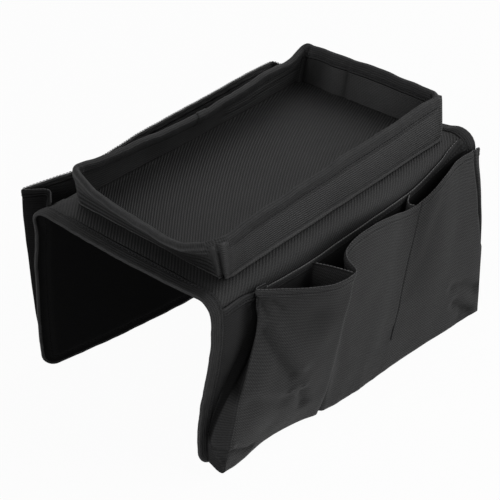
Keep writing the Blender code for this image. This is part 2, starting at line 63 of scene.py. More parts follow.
# Sizes of the saddle and of its cloth
saddle_length = 2 * half_length
fold_radius = 0.014
flap_drop = 0.169
cover_thickness = 0.0010
lining_thickness = 0.0008
tape_thickness = 0.0007
tape_width = 0.0105
tape_stand = 0.0006
tape_crown = 0.0003
# Painted shadow along the lip rows where each tape's edge meets the cloth; the inner side of the rim gets a
# share of it
lip_painted_shadow = 1.5
# Painted light: the rim's tape, lying on top, is painted lighter than the same tape on the edges
rim_painted_light = -0.35
inner_leg_share = 0.22
inner_lip_share = 0.3
# Painted shade: the edge tapes are painted darker than the same tape on the rim
edge_tape_painted_shade = 0.25
front_squeeze = 0.65
# Painted shade in the groove along each edge tape's stitched row
tape_groove_painted_shade = 0.9
mottle_tone = 0.55
mottle_size = 0.0045
mottle_seeds = {"right": 91, "left": 91, "rim": 92}
pucker_reach = 0.010
edge_stack = 0.0018
held_start = 0.0026
held_end = 0.0068
stack_fade_start = 0.0050
stack_fade_end = 0.0125
flap_corner_radius = 0.015
cloth_inset = 0.0012
hem_width = 0.0062
hem_rise = 0.0006
cloth_step = 0.0028
middle_step = 0.0004
probe = 0.0005
hollow_radius = 0.0014
least_length = 1e-7
corner_steps = 7
tape_corner_steps = 9
foot_steps = 13
# Section of each leg of the edge tape, from its border inward to the edge: how far in and how far out
tape_radius = edge_stack / 2 + tape_stand
tape_film = 0.0003
tape_row = (tape_width - 0.0019, tape_thickness * 0.7)
tape_leg = (
    (tape_width, tape_thickness),
    (tape_width - 0.0008, tape_stand),
    tape_row,
    (tape_width - 0.0032, tape_stand + tape_crown),
    (tape_width / 2, tape_stand + tape_crown),
    (tape_radius + 0.0008, tape_stand),
)
# Lip rows just past each tape's border, which carry painted shadow: how far in and how far out
tape_lip = ((tape_width + 0.0008, 0.0001), (tape_width + 0.0002, 0.0003))
inner_leg_height_share = 0.6
fold_angles = [math.radians(turn) for turn in np.linspace(90, -90, 9)]
# Soft swellings and puckers of each cloth: a height, the size of the noise and its seed
shell_swells = ((0.00035, 0.045, 3), (0.00012, 0.014, 7))
shell_puckers = ((0.00040, 0.0065, 11), (0.00060, 0.0150, 13))
wall_swells = ((0.0005, 0.030, 21), (0.0002, 0.010, 22))
wall_puckers = ((0.00030, 0.006, 23),)
floor_swells = ((0.0004, 0.050, 31), (0.0002, 0.018, 32))
strip_swells = ((0.0011, 0.055, 0), (0.00035, 0.019, 1))
strip_puckers = ((0.0004, 0.009, 2),)
base_swells = ((0.0010, 0.030, 51),)
divider_swells = ((0.0012, 0.030, 71),)
backing_swells = ((1.0, 0.016, 81),)
seed_strides = (17.3, 5.1, 9.7)
right_strip_seed = 41
left_strip_seed = 61

flat_end = half_width - fold_radius
bend_length = fold_radius * math.pi / 2
flap_length = flap_drop - fold_radius
flap_start = flat_end + bend_length
total_across = flap_start + flap_length

# How each flap hangs: how far outward its foot is at the front end, the middle and the rear end
flap_leans = {1: (-0.019, -0.006, 0.008), -1: (0.014, -0.012, -0.016)}
shoulder_shares = {1: 0.0, -1: 0.4}
shoulder_end_share = 0.30
lean_start_share = 0.05
lean_end_share = 0.85
front_sag = 0.0026
rear_sag = 0.0012
sag_reach = 0.017

# Creases of the cloth at the saddle's front left corner: two ends, a width and a height
corner_creases = (
    ((-0.0850, -0.1255), (-0.0935, -0.1365), 0.0016, -0.0013),
    ((-0.0935, -0.1365), (-0.1000, -0.1480), 0.0016, -0.0012),
    ((-0.0900, -0.1400), (-0.1000, -0.1530), 0.0019, -0.0014),
    ((-0.0880, -0.1330), (-0.0985, -0.1450), 0.0020, 0.0014),
)
# Zones of painted shade on the cover, or painted light where the last value is below 0: on the front strip
# beside the tray and along the crest of the right fold
cover_painted_light = (
    ((-0.0750, -0.1500), (0.0200, 0.0120), 0.35),
    ((-0.0120, -0.1480), (0.0350, 0.0130), -0.55),
    ((0.0994, 0.0000), (0.0050, 0.1000), -0.90),
)
rear_bulge = ((0.0990, 0.1620), (0.0180, 0.0170), 0.0078)
corner_bulge = ((-0.1010, -0.1520), (0.0080, 0.0130), 0.0026)

# Stitches
stitch_pitch = 0.0034
stitch_length = 0.0026
stitch_radius = 0.00036
stitch_sides = 5
stitch_ring_shares = (0.25, 0.75)
stitch_lift_share = 0.6
roll_pitch = 0.0030
roll_length = 0.0032
roll_stand = 0.0003
roll_start = -0.1220
tack_width = 0.0030
tack_pitch = 0.0006
tack_start_share = 0.905
tack_count = 14

# Tray
tray_half_width = half_width - 0.016
tray_half_length = half_length - 0.0245
tray_centre = np.array((0.0034, 0.0027, 0.0))
tray_wall_length = 0.039
tray_corner_radius = 0.009
wall_thickness = 0.0038
wall_curve_share = 0.35
tray_foot = stack_height + 0.0004
tray_skin = 0.0008
tray_floor_top = stack_height + 0.0038
wall_names = ("front", "right", "rear", "left")
wall_foot_heights = (0.0, 0.012, 0.024, 0.038, 0.050, 0.058, 0.066, 0.075, 0.086)
wall_body_start = 0.10
wall_body_rows = 15
wall_inner_end = 0.03
wall_inner_rows = 14
wall_turns = np.linspace(60, -60, 5)
corner_stretch = 0.006
corner_columns = 13
ring_step = 0.0025
height_probe = 0.01
foot_pucker_fade = 8
rim_pucker_fade = 6
lean_spread = 0.0045
# The boards inside the walls: clear of the corners, under the cloth, between two heights
insert_corner_gap = 0.010
insert_depth = 0.0009
insert_thickness = wall_thickness - 0.0022
insert_heights = np.linspace(0.14, 0.93, 12)
# The floor's cloth: how it meets the walls, and its grid
floor_tuck = wall_thickness - 0.0003
floor_corner_gap = 0.012
floor_columns = 61
floor_rows = 105
floor_calm_width = 0.012
floor_edge_lift = 0.0010
floor_edge_width = 0.004
rim_width = 0.0100
rim_stand = 0.0009
rim_low = 1 - rim_width / tray_wall_length
rim_row = rim_low + 0.048
rim_row_out = 0.0004
# Section of each leg of the rim's tape: the share of the walls' height, and how far out
rim_leg = (
    (rim_low - 0.022, 0.0), (rim_low - 0.006, 0.0001), (rim_low, 0.0004), (rim_low + 0.012, 0.0010),
    (rim_low + 0.030, 0.0010), (rim_row, 0.0001), (rim_low + 0.066, 0.0011), (rim_low + 0.10, 0.0014),
    (rim_low + 0.14, 0.0012),
)
floor_rib_bend = 1.1
corner_lean_shares = {
    "front_left": (0.17, -0.20),
    "front_right": (0.08, -0.18),
    "rear_right": (-0.17, 0.09),
    "rear_left": (0.108, 0.15),
}
front_bow_shares = (
    (0.0, 0.0), (0.115, 0.34), (0.23, 0.63), (0.375, 0.78), (0.55, 0.94), (0.73, 1.0), (0.865, 0.88),
    (0.97, 0.5), (1.0, 0.0),
)
even_bow_shares = ((0.0, 0.0), (0.15, 0.42), (0.35, 0.85), (0.5, 1.0), (0.65, 0.92), (0.85, 0.5), (1.0, 0.0))
# Each side: its direction, the direction out, the corners at its start and end, and its bow
tray_sides = (
    ((1, 0, 0), (0, -1, 0), "front_left", "front_right", 0.0172, front_bow_shares),
    ((0, 1, 0), (1, 0, 0), "front_right", "rear_right", 0.0, even_bow_shares),
    ((-1, 0, 0), (0, 1, 0), "rear_right", "rear_left", 0.0025, even_bow_shares),
    ((0, -1, 0), (-1, 0, 0), "rear_left", "front_left", -0.012, even_bow_shares),
)

# How strongly each corner's seam shows, and the piping at the foot of the side that starts there
seam_strengths = {"front_left": 0.25, "front_right": 1.0, "rear_right": 0.9, "rear_left": 0.5}
piping_strengths = {"front_left": 0.15, "front_right": 1.0, "rear_right": 0.6, "rear_left": 0.5}
# Folds across the walls: the distance round the rim, the height, two widths and how far out
wall_folds = (
    (0.1400, 0.50, 0.0340, 0.50, 0.0020),
    (0.1400, 0.48, 0.0130, 0.30, -0.0028),
    (0.1300, 0.93, 0.0120, 0.10, 0.0012),
    (0.5270, 0.55, 0.0022, 0.45, 0.0014),
    (0.5410, 0.55, 0.0070, 0.45, -0.0014),
    (0.5585, 0.55, 0.0070, 0.45, 0.0016),
    (0.5700, 0.60, 0.0030, 0.40, -0.0012),
    (0.2300, 0.55, 0.0180, 0.30, -0.0010),
    (0.3300, 0.50, 0.0300, 0.30, 0.0010),
    (0.6600, 0.50, 0.0220, 0.40, -0.0012),
    (0.7800, 0.50, 0.0200, 0.35, 0.0012),
    (0.0300, 0.60, 0.0200, 0.30, 0.0008),
    (0.0900, 0.55, 0.0150, 0.30, -0.0008),
)
# Creases along the walls: two ends as distance round and height, a width and how far out
wall_creases = (
    ((0.5880, 0.0270), (0.6850, 0.0200), 0.0026, -0.0016),
    ((0.5880, 0.0215), (0.6850, 0.0140), 0.0030, 0.0012),
    ((0.0200, 0.0150), (0.1200, 0.0190), 0.0060, -0.0008),
)
# Profiles of a corner's seam and of the foot's piping: a place, a width and how far out
seam_profile = ((-0.0034, 0.0013, 0.0010), (-0.0011, 0.0009, -0.0024), (0.0012, 0.0013, 0.0014))
piping_profile = ((0.0012, 0.0008, 0.0014), (0.0026, 0.0006, -0.0014))
corner_profile = ((0.0, 0.0050, 0.0026),)
corner_rise = (0.0015, 0.004)
# Painted shade in a band above the foot's piping: a height, a width and how dark; and painted shadow on the
# lowest row, up to border_rise, where the wall meets the top
piping_painted_shade = ((0.0036, 0.0014, 0.7),)
foot_painted_shadow = 0.8
border_rise = 0.0003
# The front wall ends, and the rear wall lies, at these distances round the rim
front_end = (0.150, 0.006)
# Painted shade over the front wall, which leans out over the top
front_wall_painted_shade = 0.35
rear_wall = (0.425, 0.574, 0.004)
# Painted shade and light on the inner face beside its folds: the distance round, a width, and how much
# darker, or lighter where below 0
inner_painted_light = (
    (0.5680, 0.0125, 1.5), (0.5270, 0.0035, 1.0), (0.5430, 0.0100, -0.6), (0.4900, 0.0280, -1.0),
    (0.4300, 0.0180, 0.4),
)
# Painted shade on the outer face near the front right corner, and painted light on the right wall where the
# value is below 0: the distance round, a width, and how much darker
outer_painted_light = ((0.1250, 0.0320, 1.0), (0.2300, 0.0600, -0.8))
rim_waves = ((9, 0.4, 0.00035), (17, 2.1, 0.00030), (31, 4.0, 0.00018))
# Where the rim dips or rises: the distance round it, a width and a height
rim_dips = ((0.6030, 0.0190, -0.0048), (0.5794, 0.0060, 0.0020))
lap_start = 0.7140
lap_width = 0.0105
lap_slant = 0.0080
lap_middle_share = 0.3
lap_columns = 7

# The right pocket's front panel. Each row is one place on it: at the mouth its share along the
# saddle, outward in pocket depths and down in flap drops, then at the foot the same three.
right_pocket_shares = (
    (-0.3601, 0.10, 0.038, -0.4860, 0.02, 0.973),
    (-0.3125, 0.40, 0.058, -0.4150, 0.00, 0.992),
    (-0.2625, 0.74, 0.072, -0.3350, 0.02, 0.968),
    (-0.2060, 0.97, 0.083, -0.2450, 0.12, 0.975),
    (-0.1440, 1.02, 0.081, -0.1600, 0.25, 0.994),
    (-0.1170, 0.55, 0.066, -0.1250, 0.30, 0.995),
    (-0.0780, 0.50, 0.030, -0.0750, 0.37, 0.993),
    (0.0100, 0.48, 0.032, -0.0300, 0.42, 0.992),
    (0.0950, 0.42, 0.070, 0.0000, 0.44, 0.990),
    (0.1650, 0.30, 0.125, 0.0350, 0.45, 0.988),
    (0.2300, 0.28, 0.142, 0.0670, 0.46, 0.987),
    (0.2780, 0.36, 0.100, 0.1300, 0.49, 0.986),
    (0.3300, 0.37, 0.055, 0.2200, 0.56, 0.986),
    (0.4000, 0.28, 0.038, 0.3500, 0.675, 0.991),
    (0.4940, 0.25, 0.060, 0.4880, 0.75, 1.003),
)
# How far the panel's front edge lies forward of its table, by the share down, and how much of
# that the first rows take
front_edge_shifts = (
    (0.0, -0.0060), (0.08, -0.0050), (0.22, -0.0042), (0.33, -0.0066), (0.46, -0.0088),
    (0.58, -0.0102), (0.72, -0.0068), (0.86, -0.0030), (1.0, 0.0),
)
front_edge_weights = (1.0, 0.55, 0.2)
# How far the front divider's line lies forward of its table, by the share down, and over how many rows
divider_shifts = ((0.0, 0.0), (0.12, -0.0030), (0.30, -0.0052), (0.45, -0.0040), (0.70, -0.0020), (1.0, 0.0))
divider_reach = 0.9
pocket_depth = 0.040
pocket_thickness = 0.0012
gusset_thickness = 0.0008
pocket_belly_share = 0.10
divider_row = 4
pocket_turn_power = 1.7
stitch_row = 10
tuck_start = 0.90
stitch_end_share = 0.80
seam_bend = ((0.0, 0.0030), (0.055, -0.0020), (0.125, 0.0015))
# Creases of the right front panel on its cloth's own coordinates: two ends, a width and a height
panel_creases = (
    ((0.0360, 0.0330), (0.0780, 0.0870), 0.0050, -0.0034),
    ((0.0440, 0.0270), (0.0860, 0.0810), 0.0065, 0.0020),
    ((0.0760, 0.1010), (0.0825, 0.0960), 0.0022, 0.0018),
    ((0.0825, 0.0960), (0.0920, 0.1010), 0.0022, 0.0016),
    ((0.0905, 0.1060), (0.0985, 0.1280), 0.0040, -0.0028),
    ((0.0340, 0.0770), (0.0770, 0.0990), 0.0080, 0.0012),
    ((0.0360, 0.0900), (0.0800, 0.1120), 0.0060, -0.0013),
    ((0.0020, 0.1310), (0.0340, 0.1340), 0.0018, -0.0022),
    ((0.0340, 0.1340), (0.0580, 0.1440), 0.0018, -0.0018),
    ((0.0020, 0.1265), (0.0340, 0.1295), 0.0030, 0.0014),
    ((0.0080, 0.1350), (0.0300, 0.1500), 0.0018, 0.0018),
    ((0.0290, 0.0060), (0.0400, 0.0230), 0.0020, -0.0020),
    ((0.0430, 0.0100), (0.0520, 0.0180), 0.0022, -0.0018),
    ((0.2920, 0.1090), (0.3061, 0.1135), 0.0046, -0.0022),
    ((0.3061, 0.1135), (0.3300, 0.1275), 0.0046, -0.0028),
    ((0.2985, 0.1265), (0.3086, 0.1352), 0.0048, -0.0036),
    ((0.3086, 0.1352), (0.3235, 0.1485), 0.0042, -0.0034),
    ((0.2660, 0.0100), (0.2320, 0.0850), 0.0110, -0.0006),
)
# Dents and swellings of that panel: a centre, two widths and a height
panel_dents = (
    ((0.0380, 0.0120), (0.0060, 0.0060), -0.0024),
    ((0.0860, 0.0300), (0.0180, 0.0130), -0.0030),
    ((0.0440, 0.0660), (0.0120, 0.0200), 0.0018),
    ((0.0480, 0.1130), (0.0140, 0.0160), 0.0014),
    ((0.1360, 0.0480), (0.0120, 0.0240), 0.0014),
    ((0.1700, 0.1050), (0.0200, 0.0240), -0.0014),
    ((0.2700, 0.0700), (0.0220, 0.0300), 0.0014),
    ((0.3110, 0.1455), (0.0070, 0.0060), -0.0018),
)
# Zones of painted shade on the strip, or painted light where the last value is below 0, at its pleat, darts
# and creases
strip_painted_light = (
    ((0.0250, 0.1460), (0.0300, 0.0090), 0.55),
    ((0.0700, 0.1400), (0.0300, 0.0150), 0.30),
    ((0.0480, 0.0500), (0.0220, 0.0400), -0.30),
    ((0.3110, 0.1455), (0.0080, 0.0070), 0.50),
    ((0.3015, 0.1285), (0.0036, 0.0028), 0.55),
    ((0.3070, 0.1325), (0.0036, 0.0030), 0.65),
    ((0.3125, 0.1370), (0.0036, 0.0030), 0.65),
    ((0.3180, 0.1415), (0.0036, 0.0030), 0.65),
    ((0.3235, 0.1465), (0.0036, 0.0030), 0.60),
    ((0.3060, 0.1125), (0.0110, 0.0026), 0.65),
    ((0.3190, 0.1290), (0.0090, 0.0060), -0.20),
    ((0.0860, 0.0300), (0.0200, 0.0120), 0.30),
    ((0.0520, 0.0650), (0.0250, 0.0450), -0.25),
    ((0.1750, 0.0900), (0.0400, 0.0500), 0.16),
    ((0.0600, 0.0680), (0.0060, 0.0200), 0.22),
    ((0.0350, 0.0100), (0.0035, 0.0045), 0.60),
    ((0.0292, 0.0120), (0.0010, 0.0120), -1.60),
)
# The strips' grids: columns even at first, then closer on both sides of each fold
strip_step = 0.0022
strip_rounding = 2
spline_steps = 12
least_step = 0.0002
fine_offsets = (0.0004, 0.0008, 0.0013, 0.0019, 0.0026, 0.0034, 0.0042)
hem_seam = 0.0046
hem_rows = (0.0, 0.0006, 0.0020, 0.0036, hem_seam, 0.0054, hem_width - 0.0001, hem_width + 0.0005, 0.0085)
hem_seam_row = hem_rows.index(hem_seam)
row_start = 0.0105
row_step = 0.0025
hem_band = (hem_width - 0.0003, 0.0008)
hem_border = (0.0, 0.0008)
hem_groove = ((hem_seam, 0.0006, 0.0004),)
# Swellings fade in below the mouth, and puckers fade out from both ends
swell_start = (0.0, 0.03)
end_reach = 0.010
# The step before the front divider's line, and the hollow past it
step_height = 0.0016
step_fade = 0.0020
step_reach = 0.012
step_mouth = (0.006, 0.020)
step_foot = (0.120, 0.030)
step_foot_loss = 0.6
hollow_depth = 0.0018
hollow_shift = 0.0036
hollow_width = 0.0032
hollow_mouth = (0.004, 0.012)
# The straight seam: a place beside it, a width and a depth, and how it ends
seam_grooves = ((0.0, 0.0008, 0.0011), (0.0, 0.008, 0.0003))
seam_end_fade = 0.006
# The crease before the rear gusset: its ends forward of the edge and down, a width and a depth
rear_crease = ((0.0075, -0.01), (0.0015, 0.086), 0.0014, 0.0030)
# Painted shadow and painted light of the right strip: places and fades across it and down it, and how dark,
# or how much lighter where below 0
recess_painted_shadow = 1.15
recess_foot_painted_light = -0.9
recess_end_fade = 0.002
recess_border = (-0.001, 0.006)
recess_foot = (0.124, 0.012)
recess_turn = (0.080, 0.016)
edge_fade = 0.0015
rear_painted_light = -1.1
rear_fade = 0.002
rear_foot = (0.055, 0.030)
rear_groove_painted_shade = 1.2
groove_start = 0.0075
groove_slant = 0.0060 / 0.086
groove_width = 0.0016
groove_foot = (0.080, 0.012)
seam_painted_light = -0.35
seam_tone_fade = 0.002
seam_tone_reach = 0.016
left_pocket_shares = (
    (-0.4680, 0.72), (-0.4100, 0.63), (-0.3280, 0.45), (-0.1850, 0.46), (-0.0900, 0.56), (0.0000, 0.59),
    (0.1000, 0.62), (0.2050, 0.64), (0.3900, 0.70), (0.4900, 0.68),
)
left_foot_depth = 0.014
left_belly = 0.004
left_edge = (-0.0005, 0.0015)
left_mouth_drop_share = 0.0
left_foot_drop_share = 0.965
seat_out = 0.0008
tuck_edge_share = 0.8
seam_drop_share = 0.15
# The pockets' bases: how the cloth lies at the panel's foot and at the flap, and how it sags
base_inset = 0.0008
base_rise = 0.0012
base_flap_gap = 0.004
base_shares = np.linspace(0.0, 1.0, 9)
base_width = 0.03
base_drop = 0.0022
# The dividers: their rows and columns, where each is sewn, and how their mouths slant and sway
divider_rows = 50
divider_start_share = 0.01
divider_columns = np.linspace(0.0, 1.0, 15)
divider_inset = np.array((0.0020, 0.0006, 0.0))
divider_seat_out = 0.0026
divider_shift_share = 0.40
divider_rise_share = 0.20
divider_slack_share = 0.25
divider_sway_end = 1.2
divider_width = 0.03
# Painted light along the dividers' hems: where it fades down them, and how much lighter
divider_hem = (0.012, 0.010)
divider_hem_painted_light = -1.5
# Each divider: its row of the panel, its foot's share, its slack, and its mouth's slack, rise and shift
dividers = {
    "front": (divider_row, 0.93, -0.004, 0.001, -0.0045, -0.005),
    "rear": (stitch_row, stitch_end_share, 0.001, -0.008, 0.009, 0.0),
}
# The gussets: shares along the saddle of the seam and of the fold, each at the mouth and at the foot
right_front_gusset = ((-0.400, -0.478), (-0.320, -0.506))
right_rear_gusset = ((0.466, 0.466), (0.520, 0.466))
left_front_gusset = ((-0.455, -0.478), (-0.412, -0.470))
left_rear_gusset = ((0.466, 0.466), (0.492, 0.492))
right_front_drop = 0.0075
right_rear_drop = 0.004
right_fold_out = 0.33
right_tuck = 0.85
rear_gusset_length = 0.125
right_pocket_length = 0.152
left_pocket_length = 0.161
left_columns = 13
# The backing: its size, how it settles under the tape, its painted shadow beside the front gusset and its
# painted light in the front compartment, at the top and along its hem's edge, as places, fades and strengths
backing_length = 0.145
backing_foot_gap = 0.0115
backing_columns = 126
backing_lift = 0.0002
backing_out = 0.0011
backing_roughness = 0.0003
backing_end = (half_length - tape_width + 0.0006, 0.003)
recess_width = 0.012
recess_mouth = (0.003, 0.010)
backing_recess_tone = 1.2
lit_front = (-0.124, 0.008)
lit_rear = (-0.050, 0.060)
lit_rear_loss = 0.85
lit_foot = (0.030, 0.030)
lit_painted_light = -1.5
upper_rise = (-0.080, 0.050)
upper_painted_light = -0.6
rim_band = (0.0012, 0.0012)
hem_edge_painted_highlight = -1.3
# The backing's hem: places along the saddle and its height there
backing_hem = (
    (-0.150, -0.0050), (-0.128, -0.0050), (-0.115, -0.0080), (-0.087, -0.0110), (-0.049, -0.0135),
    (-0.018, -0.0130), (0.017, -0.0125), (0.072, -0.0115), (0.120, -0.0030), (0.140, 0.0008), (0.150, 0.0012),
)

# Where the painted shadow on the backing begins beside the front gusset: heights and places along the saddle
recess_edge = (
    (-0.165, -0.1570), (-0.145, -0.1560), (-0.125, -0.1540), (-0.105, -0.1490), (-0.085, -0.1420),
    (-0.060, -0.1340), (-0.035, -0.1305), (-0.005, -0.1290),
)


# Helpers for numbers
def ease(share):
    """A share that starts and ends gently, kept between 0 and 1."""
    kept = np.clip(share, 0.0, 1.0)
    return kept * kept * (3.0 - 2.0 * kept)


def mix(a, b, share):
    """The value that lies the given share of the way from a to b."""
    return a + (b - a) * share


def spline(values, at):
    """Rows of values read at fractional row numbers, on a smooth curve through every row."""
    values = np.asarray(values, float)
    at = np.clip(np.asarray(at, float), 0, len(values) - 1)
    low = np.minimum(at.astype(int), len(values) - 2)
    t = (at - low).reshape(at.shape + (1,) * (values.ndim - 1))
    before = values[np.maximum(low - 1, 0)]
    start = values[low]
    end = values[low + 1]
    after = values[np.minimum(low + 2, len(values) - 1)]
    leave = (end - before) / 2
    arrive = (after - start) / 2
    return (
        (2 * t**3 - 3 * t**2 + 1) * start + (t**3 - 2 * t**2 + t) * leave
        + (3 * t**2 - 2 * t**3) * end + (t**3 - t**2) * arrive
    )


def read_curve(table, at):
    """The height of a smooth curve through a table of places and heights."""
    table = np.asarray(table)
    return spline(table[:, 1], np.interp(at, table[:, 0], np.arange(len(table))))


def smooth_noise(points, size, seed):
    """Even noise from -1 to 1 over an array of points, with features of about the given size."""
    flat = points.reshape(-1, points.shape[-1]) / size
    offset = Vector([seed * stride for stride in seed_strides])
    values = [noise.noise(Vector((*p, 0)[:3]) + offset) for p in flat]
    return np.array(values).reshape(points.shape[:-1])


def crease(u, v, start, end, width, height):
    """A ridge of the given height along the line from start to end on a cloth's own coordinates."""
    line = np.subtract(end, start)
    length = float(np.hypot(*line))
    along = ((u - start[0]) * line[0] + (v - start[1]) * line[1]) / length
    away = ((u - start[0]) * line[1] - (v - start[1]) * line[0]) / length
    ends = ease(along / (2 * width) + 0.5) * ease((length - along) / (2 * width) + 0.5)
    return height * np.exp(-((away / width) ** 2)) * ends


def dimple(u, v, centre, width, height):
    """A soft round swelling on a cloth's own coordinates, or a hollow where height is below 0."""
    away = ((u - centre[0]) / width[0]) ** 2 + ((v - centre[1]) / width[1]) ** 2
    return height * np.exp(-away)


def bell(at, centre, width):
    """A smooth bump that is 1 at its centre and fades over its width."""
    return np.exp(-(((at - centre) / width) ** 2))


def ramp(at, start, width):
    """A smooth step: 0 up to its start, and 1 from its width onward."""
    return ease((at - start) / width)


def profile(at, rows):
    """The sum of several bumps, each row a centre, a width and a height."""
    return sum(height * bell(at, centre, width) for centre, width, height in rows)


def creases(u, v, rows):
    """The sum of several creases."""
    return sum(crease(u, v, *row) for row in rows)


def dimples(u, v, rows):
    """The sum of several swellings or hollows."""
    return sum(dimple(u, v, *row) for row in rows)


def swells(place, rows, seed=0):
    """The sum of several noises, each row a height, a size and a seed counted from the given one."""
    return sum(height * smooth_noise(place, size, seed + number) for height, size, number in rows)


def unit(vectors):
    """The same vectors, each with length 1."""
    return vectors / np.maximum(np.linalg.norm(vectors, axis=-1, keepdims=True), 1e-12)


def grid_normals(points, ring=False):
    """Normals of a grid of points: its columns' direction crossed with its rows' direction."""
    if ring:
        wide = np.concatenate([points[:, -1:], points, points[:, :1]], axis=1)
        across = wide[:, 2:] - wide[:, :-2]
    else:
        across = np.gradient(points, axis=1)
    return unit(np.cross(across, np.gradient(points, axis=0)))


def hollow_share(points, normals, ring):
    """How hollow a grid of points is at each point: 1 in a groove, 0 where it is flat, -1 on a ridge. The
    materials paint shade into grooves and a highlight onto ridges by it.
    """
    if ring:
        points = np.concatenate([points[:, -1:], points, points[:, :1]], axis=1)
    share = np.zeros(points.shape[:2])
    for axis in (0, 1):
        steps = np.diff(points, axis=axis)
        lengths = np.maximum(np.linalg.norm(steps, axis=-1, keepdims=True), least_length)
        turns = np.diff(steps / lengths, axis=axis)
        sizes = (np.take(lengths, range(1, lengths.shape[axis]), axis) + np.delete(lengths, -1, axis)) / 2
        inner = (slice(1, -1), slice(None)) if axis == 0 else (slice(None), slice(1, -1))
        sides = normals if not ring else np.concatenate([normals[:, -1:], normals, normals[:, :1]], axis=1)
        share[inner] += (turns / sizes * sides[inner]).sum(axis=-1)
    if ring:
        share = share[:, 1:-1]
    return np.clip(share * hollow_radius, -1.0, 1.0)


def run_length(line):
    """The distance along a line of points at each point of it."""
    steps = np.linalg.norm(np.diff(line, axis=0), axis=-1)
    return np.concatenate([[0.0], np.cumsum(steps)])


def paired(u, v):
    """Two coordinates over a grid, as one array."""
    return np.stack(np.broadcast_arrays(u, v), axis=-1)


# Meshes
def add_object(name, data):
    """A new object in the scene that shows the given data."""
    piece = bpy.data.objects.new(name, data)
    bpy.context.scene.collection.objects.link(piece)
    return piece


def build_mesh(name, vertices, faces, uvs, hollow, material, flat_from):
    """A mesh object, smooth up to the face number flat_from and with flat faces after it."""
    mesh = bpy.data.meshes.new(name)
    mesh.from_pydata(vertices.tolist(), [], faces.tolist())
    mesh.polygons.foreach_set("use_smooth", np.arange(len(faces)) < flat_from)
    layer = mesh.uv_layers.new(name="cloth")
    layer.data.foreach_set("uv", uvs.astype(np.float32).ravel())
    # The hollow attribute carries painted shade and painted light: darker in grooves, lighter on ridges, plus
    # the painted zones passed in as shade
    mesh.attributes.new("hollow", "FLOAT", "POINT").data.foreach_set("value", hollow.astype(np.float32))
    mesh.materials.append(material)
    mesh.update()
    return add_object(name, mesh)


def cloth(name, points, thickness, uv, material, normals=None, ring=False, flip=False, shade=0.0):
    """A sheet of cloth: a grid of points for its outer face, and its thickness behind that."""
    if normals is None:
        normals = grid_normals(points, ring) * (-1 if flip else 1)
    rows, columns = points.shape[:2]
    depth = np.broadcast_to(np.asarray(thickness, float), (rows, columns))[..., None]
    vertices = np.concatenate([points.reshape(-1, 3), (points - normals * depth).reshape(-1, 3)])
    # Painted shade in grooves and painted highlight on ridges, from the grid's bends, plus the painted shade
    # and light passed in as shade
    hollow = (hollow_share(points, normals, ring) + shade).ravel()
    hollow = np.concatenate([hollow, -hollow])
    count = rows * columns
    index = np.arange(count).reshape(rows, columns)
    if ring:
        index = np.concatenate([index, index[:, :1]], axis=1)
    uv = np.broadcast_to(uv, index.shape + (2,)).reshape(-1, 2)
    spot = np.arange(index.size).reshape(index.shape)

    def quads(grid):
        return np.stack([grid[:-1, :-1], grid[:-1, 1:], grid[1:, 1:], grid[1:, :-1]], axis=-1).reshape(-1, 4)

    outer = quads(index)
    outer_uv = quads(spot)
    faces = [outer, outer[:, ::-1] + count]
    spots = [outer_uv, outer_uv[:, ::-1]]
    borders = [(index[0], spot[0]), (index[-1][::-1], spot[-1][::-1])]
    if not ring:
        borders += [(index[:, -1], spot[:, -1]), (index[:, 0][::-1], spot[:, 0][::-1])]
    for line, line_spot in borders:
        faces.append(np.stack([line[1:], line[:-1], line[:-1] + count, line[1:] + count], axis=-1))
        spots.append(np.stack([line_spot[1:], line_spot[:-1], line_spot[:-1], line_spot[1:]], axis=-1))
    faces = np.concatenate(faces)
    spots = np.concatenate(spots)
    if flip:
        faces = faces[:, ::-1]
        spots = spots[:, ::-1]
    return build_mesh(name, vertices, faces, uv[spots.ravel()], hollow, material, 2 * len(outer))


def stitches(name, lines, material, pitch=stitch_pitch, length=stitch_length):
    """Thread showing as a row of short stitches along each line of points and normals."""
    vertices = []
    for points, normals in lines:
        run = run_length(points)
        count = max(1, int((run[-1] - length) / pitch))
        starts = (run[-1] - (count - 1) * pitch - length) / 2 + pitch * np.arange(count)

        def at(distances, table):
            return np.stack([np.interp(distances, run, table[:, i]) for i in range(3)], axis=-1)

        tail = at(starts, points)
        head = at(starts + length, points)
        up = unit(at(starts + length / 2, normals))
        way = unit(head - tail)
        aside = np.cross(way, up)
        turns = np.arange(stitch_sides) * 2 * math.pi / stitch_sides
        rings = [tail - up * stitch_radius]
        for share in stitch_ring_shares:
            centre = mix(tail, head, share) + up * stitch_radius * stitch_lift_share
            for turn in turns:
                rings.append(centre + (aside * math.cos(turn) + up * math.sin(turn)) * stitch_radius)
        rings.append(head - up * stitch_radius)
        vertices.append(np.stack(rings, axis=1))
    vertices = np.concatenate(vertices)
    each = vertices.shape[1]
    faces = []
    for k in range(stitch_sides):
        near = 1 + k
        next_near = 1 + (k + 1) % stitch_sides
        faces.append((0, next_near, near, near))
        faces.append((near, next_near, next_near + stitch_sides, near + stitch_sides))
        faces.append((near + stitch_sides, next_near + stitch_sides, each - 1, each - 1))
    faces = np.array(faces)
    shifted = (faces[None] + each * np.arange(len(vertices))[:, None, None]).reshape(-1, 4)
    mesh = bpy.data.meshes.new(name)
    mesh.from_pydata(vertices.reshape(-1, 3).tolist(), [], [list(dict.fromkeys(f)) for f in shifted.tolist()])
    mesh.polygons.foreach_set("use_smooth", [True] * len(mesh.polygons))
    mesh.materials.append(material)
    mesh.update()
    return add_object(name, mesh)


# Materials
def new_material(name):
    """An empty node material, with its shader and its links."""
    material = bpy.data.materials.new(name)
    material.use_nodes = True
    tree = material.node_tree
    shader = tree.nodes["Principled BSDF"]
    return material, tree, shader


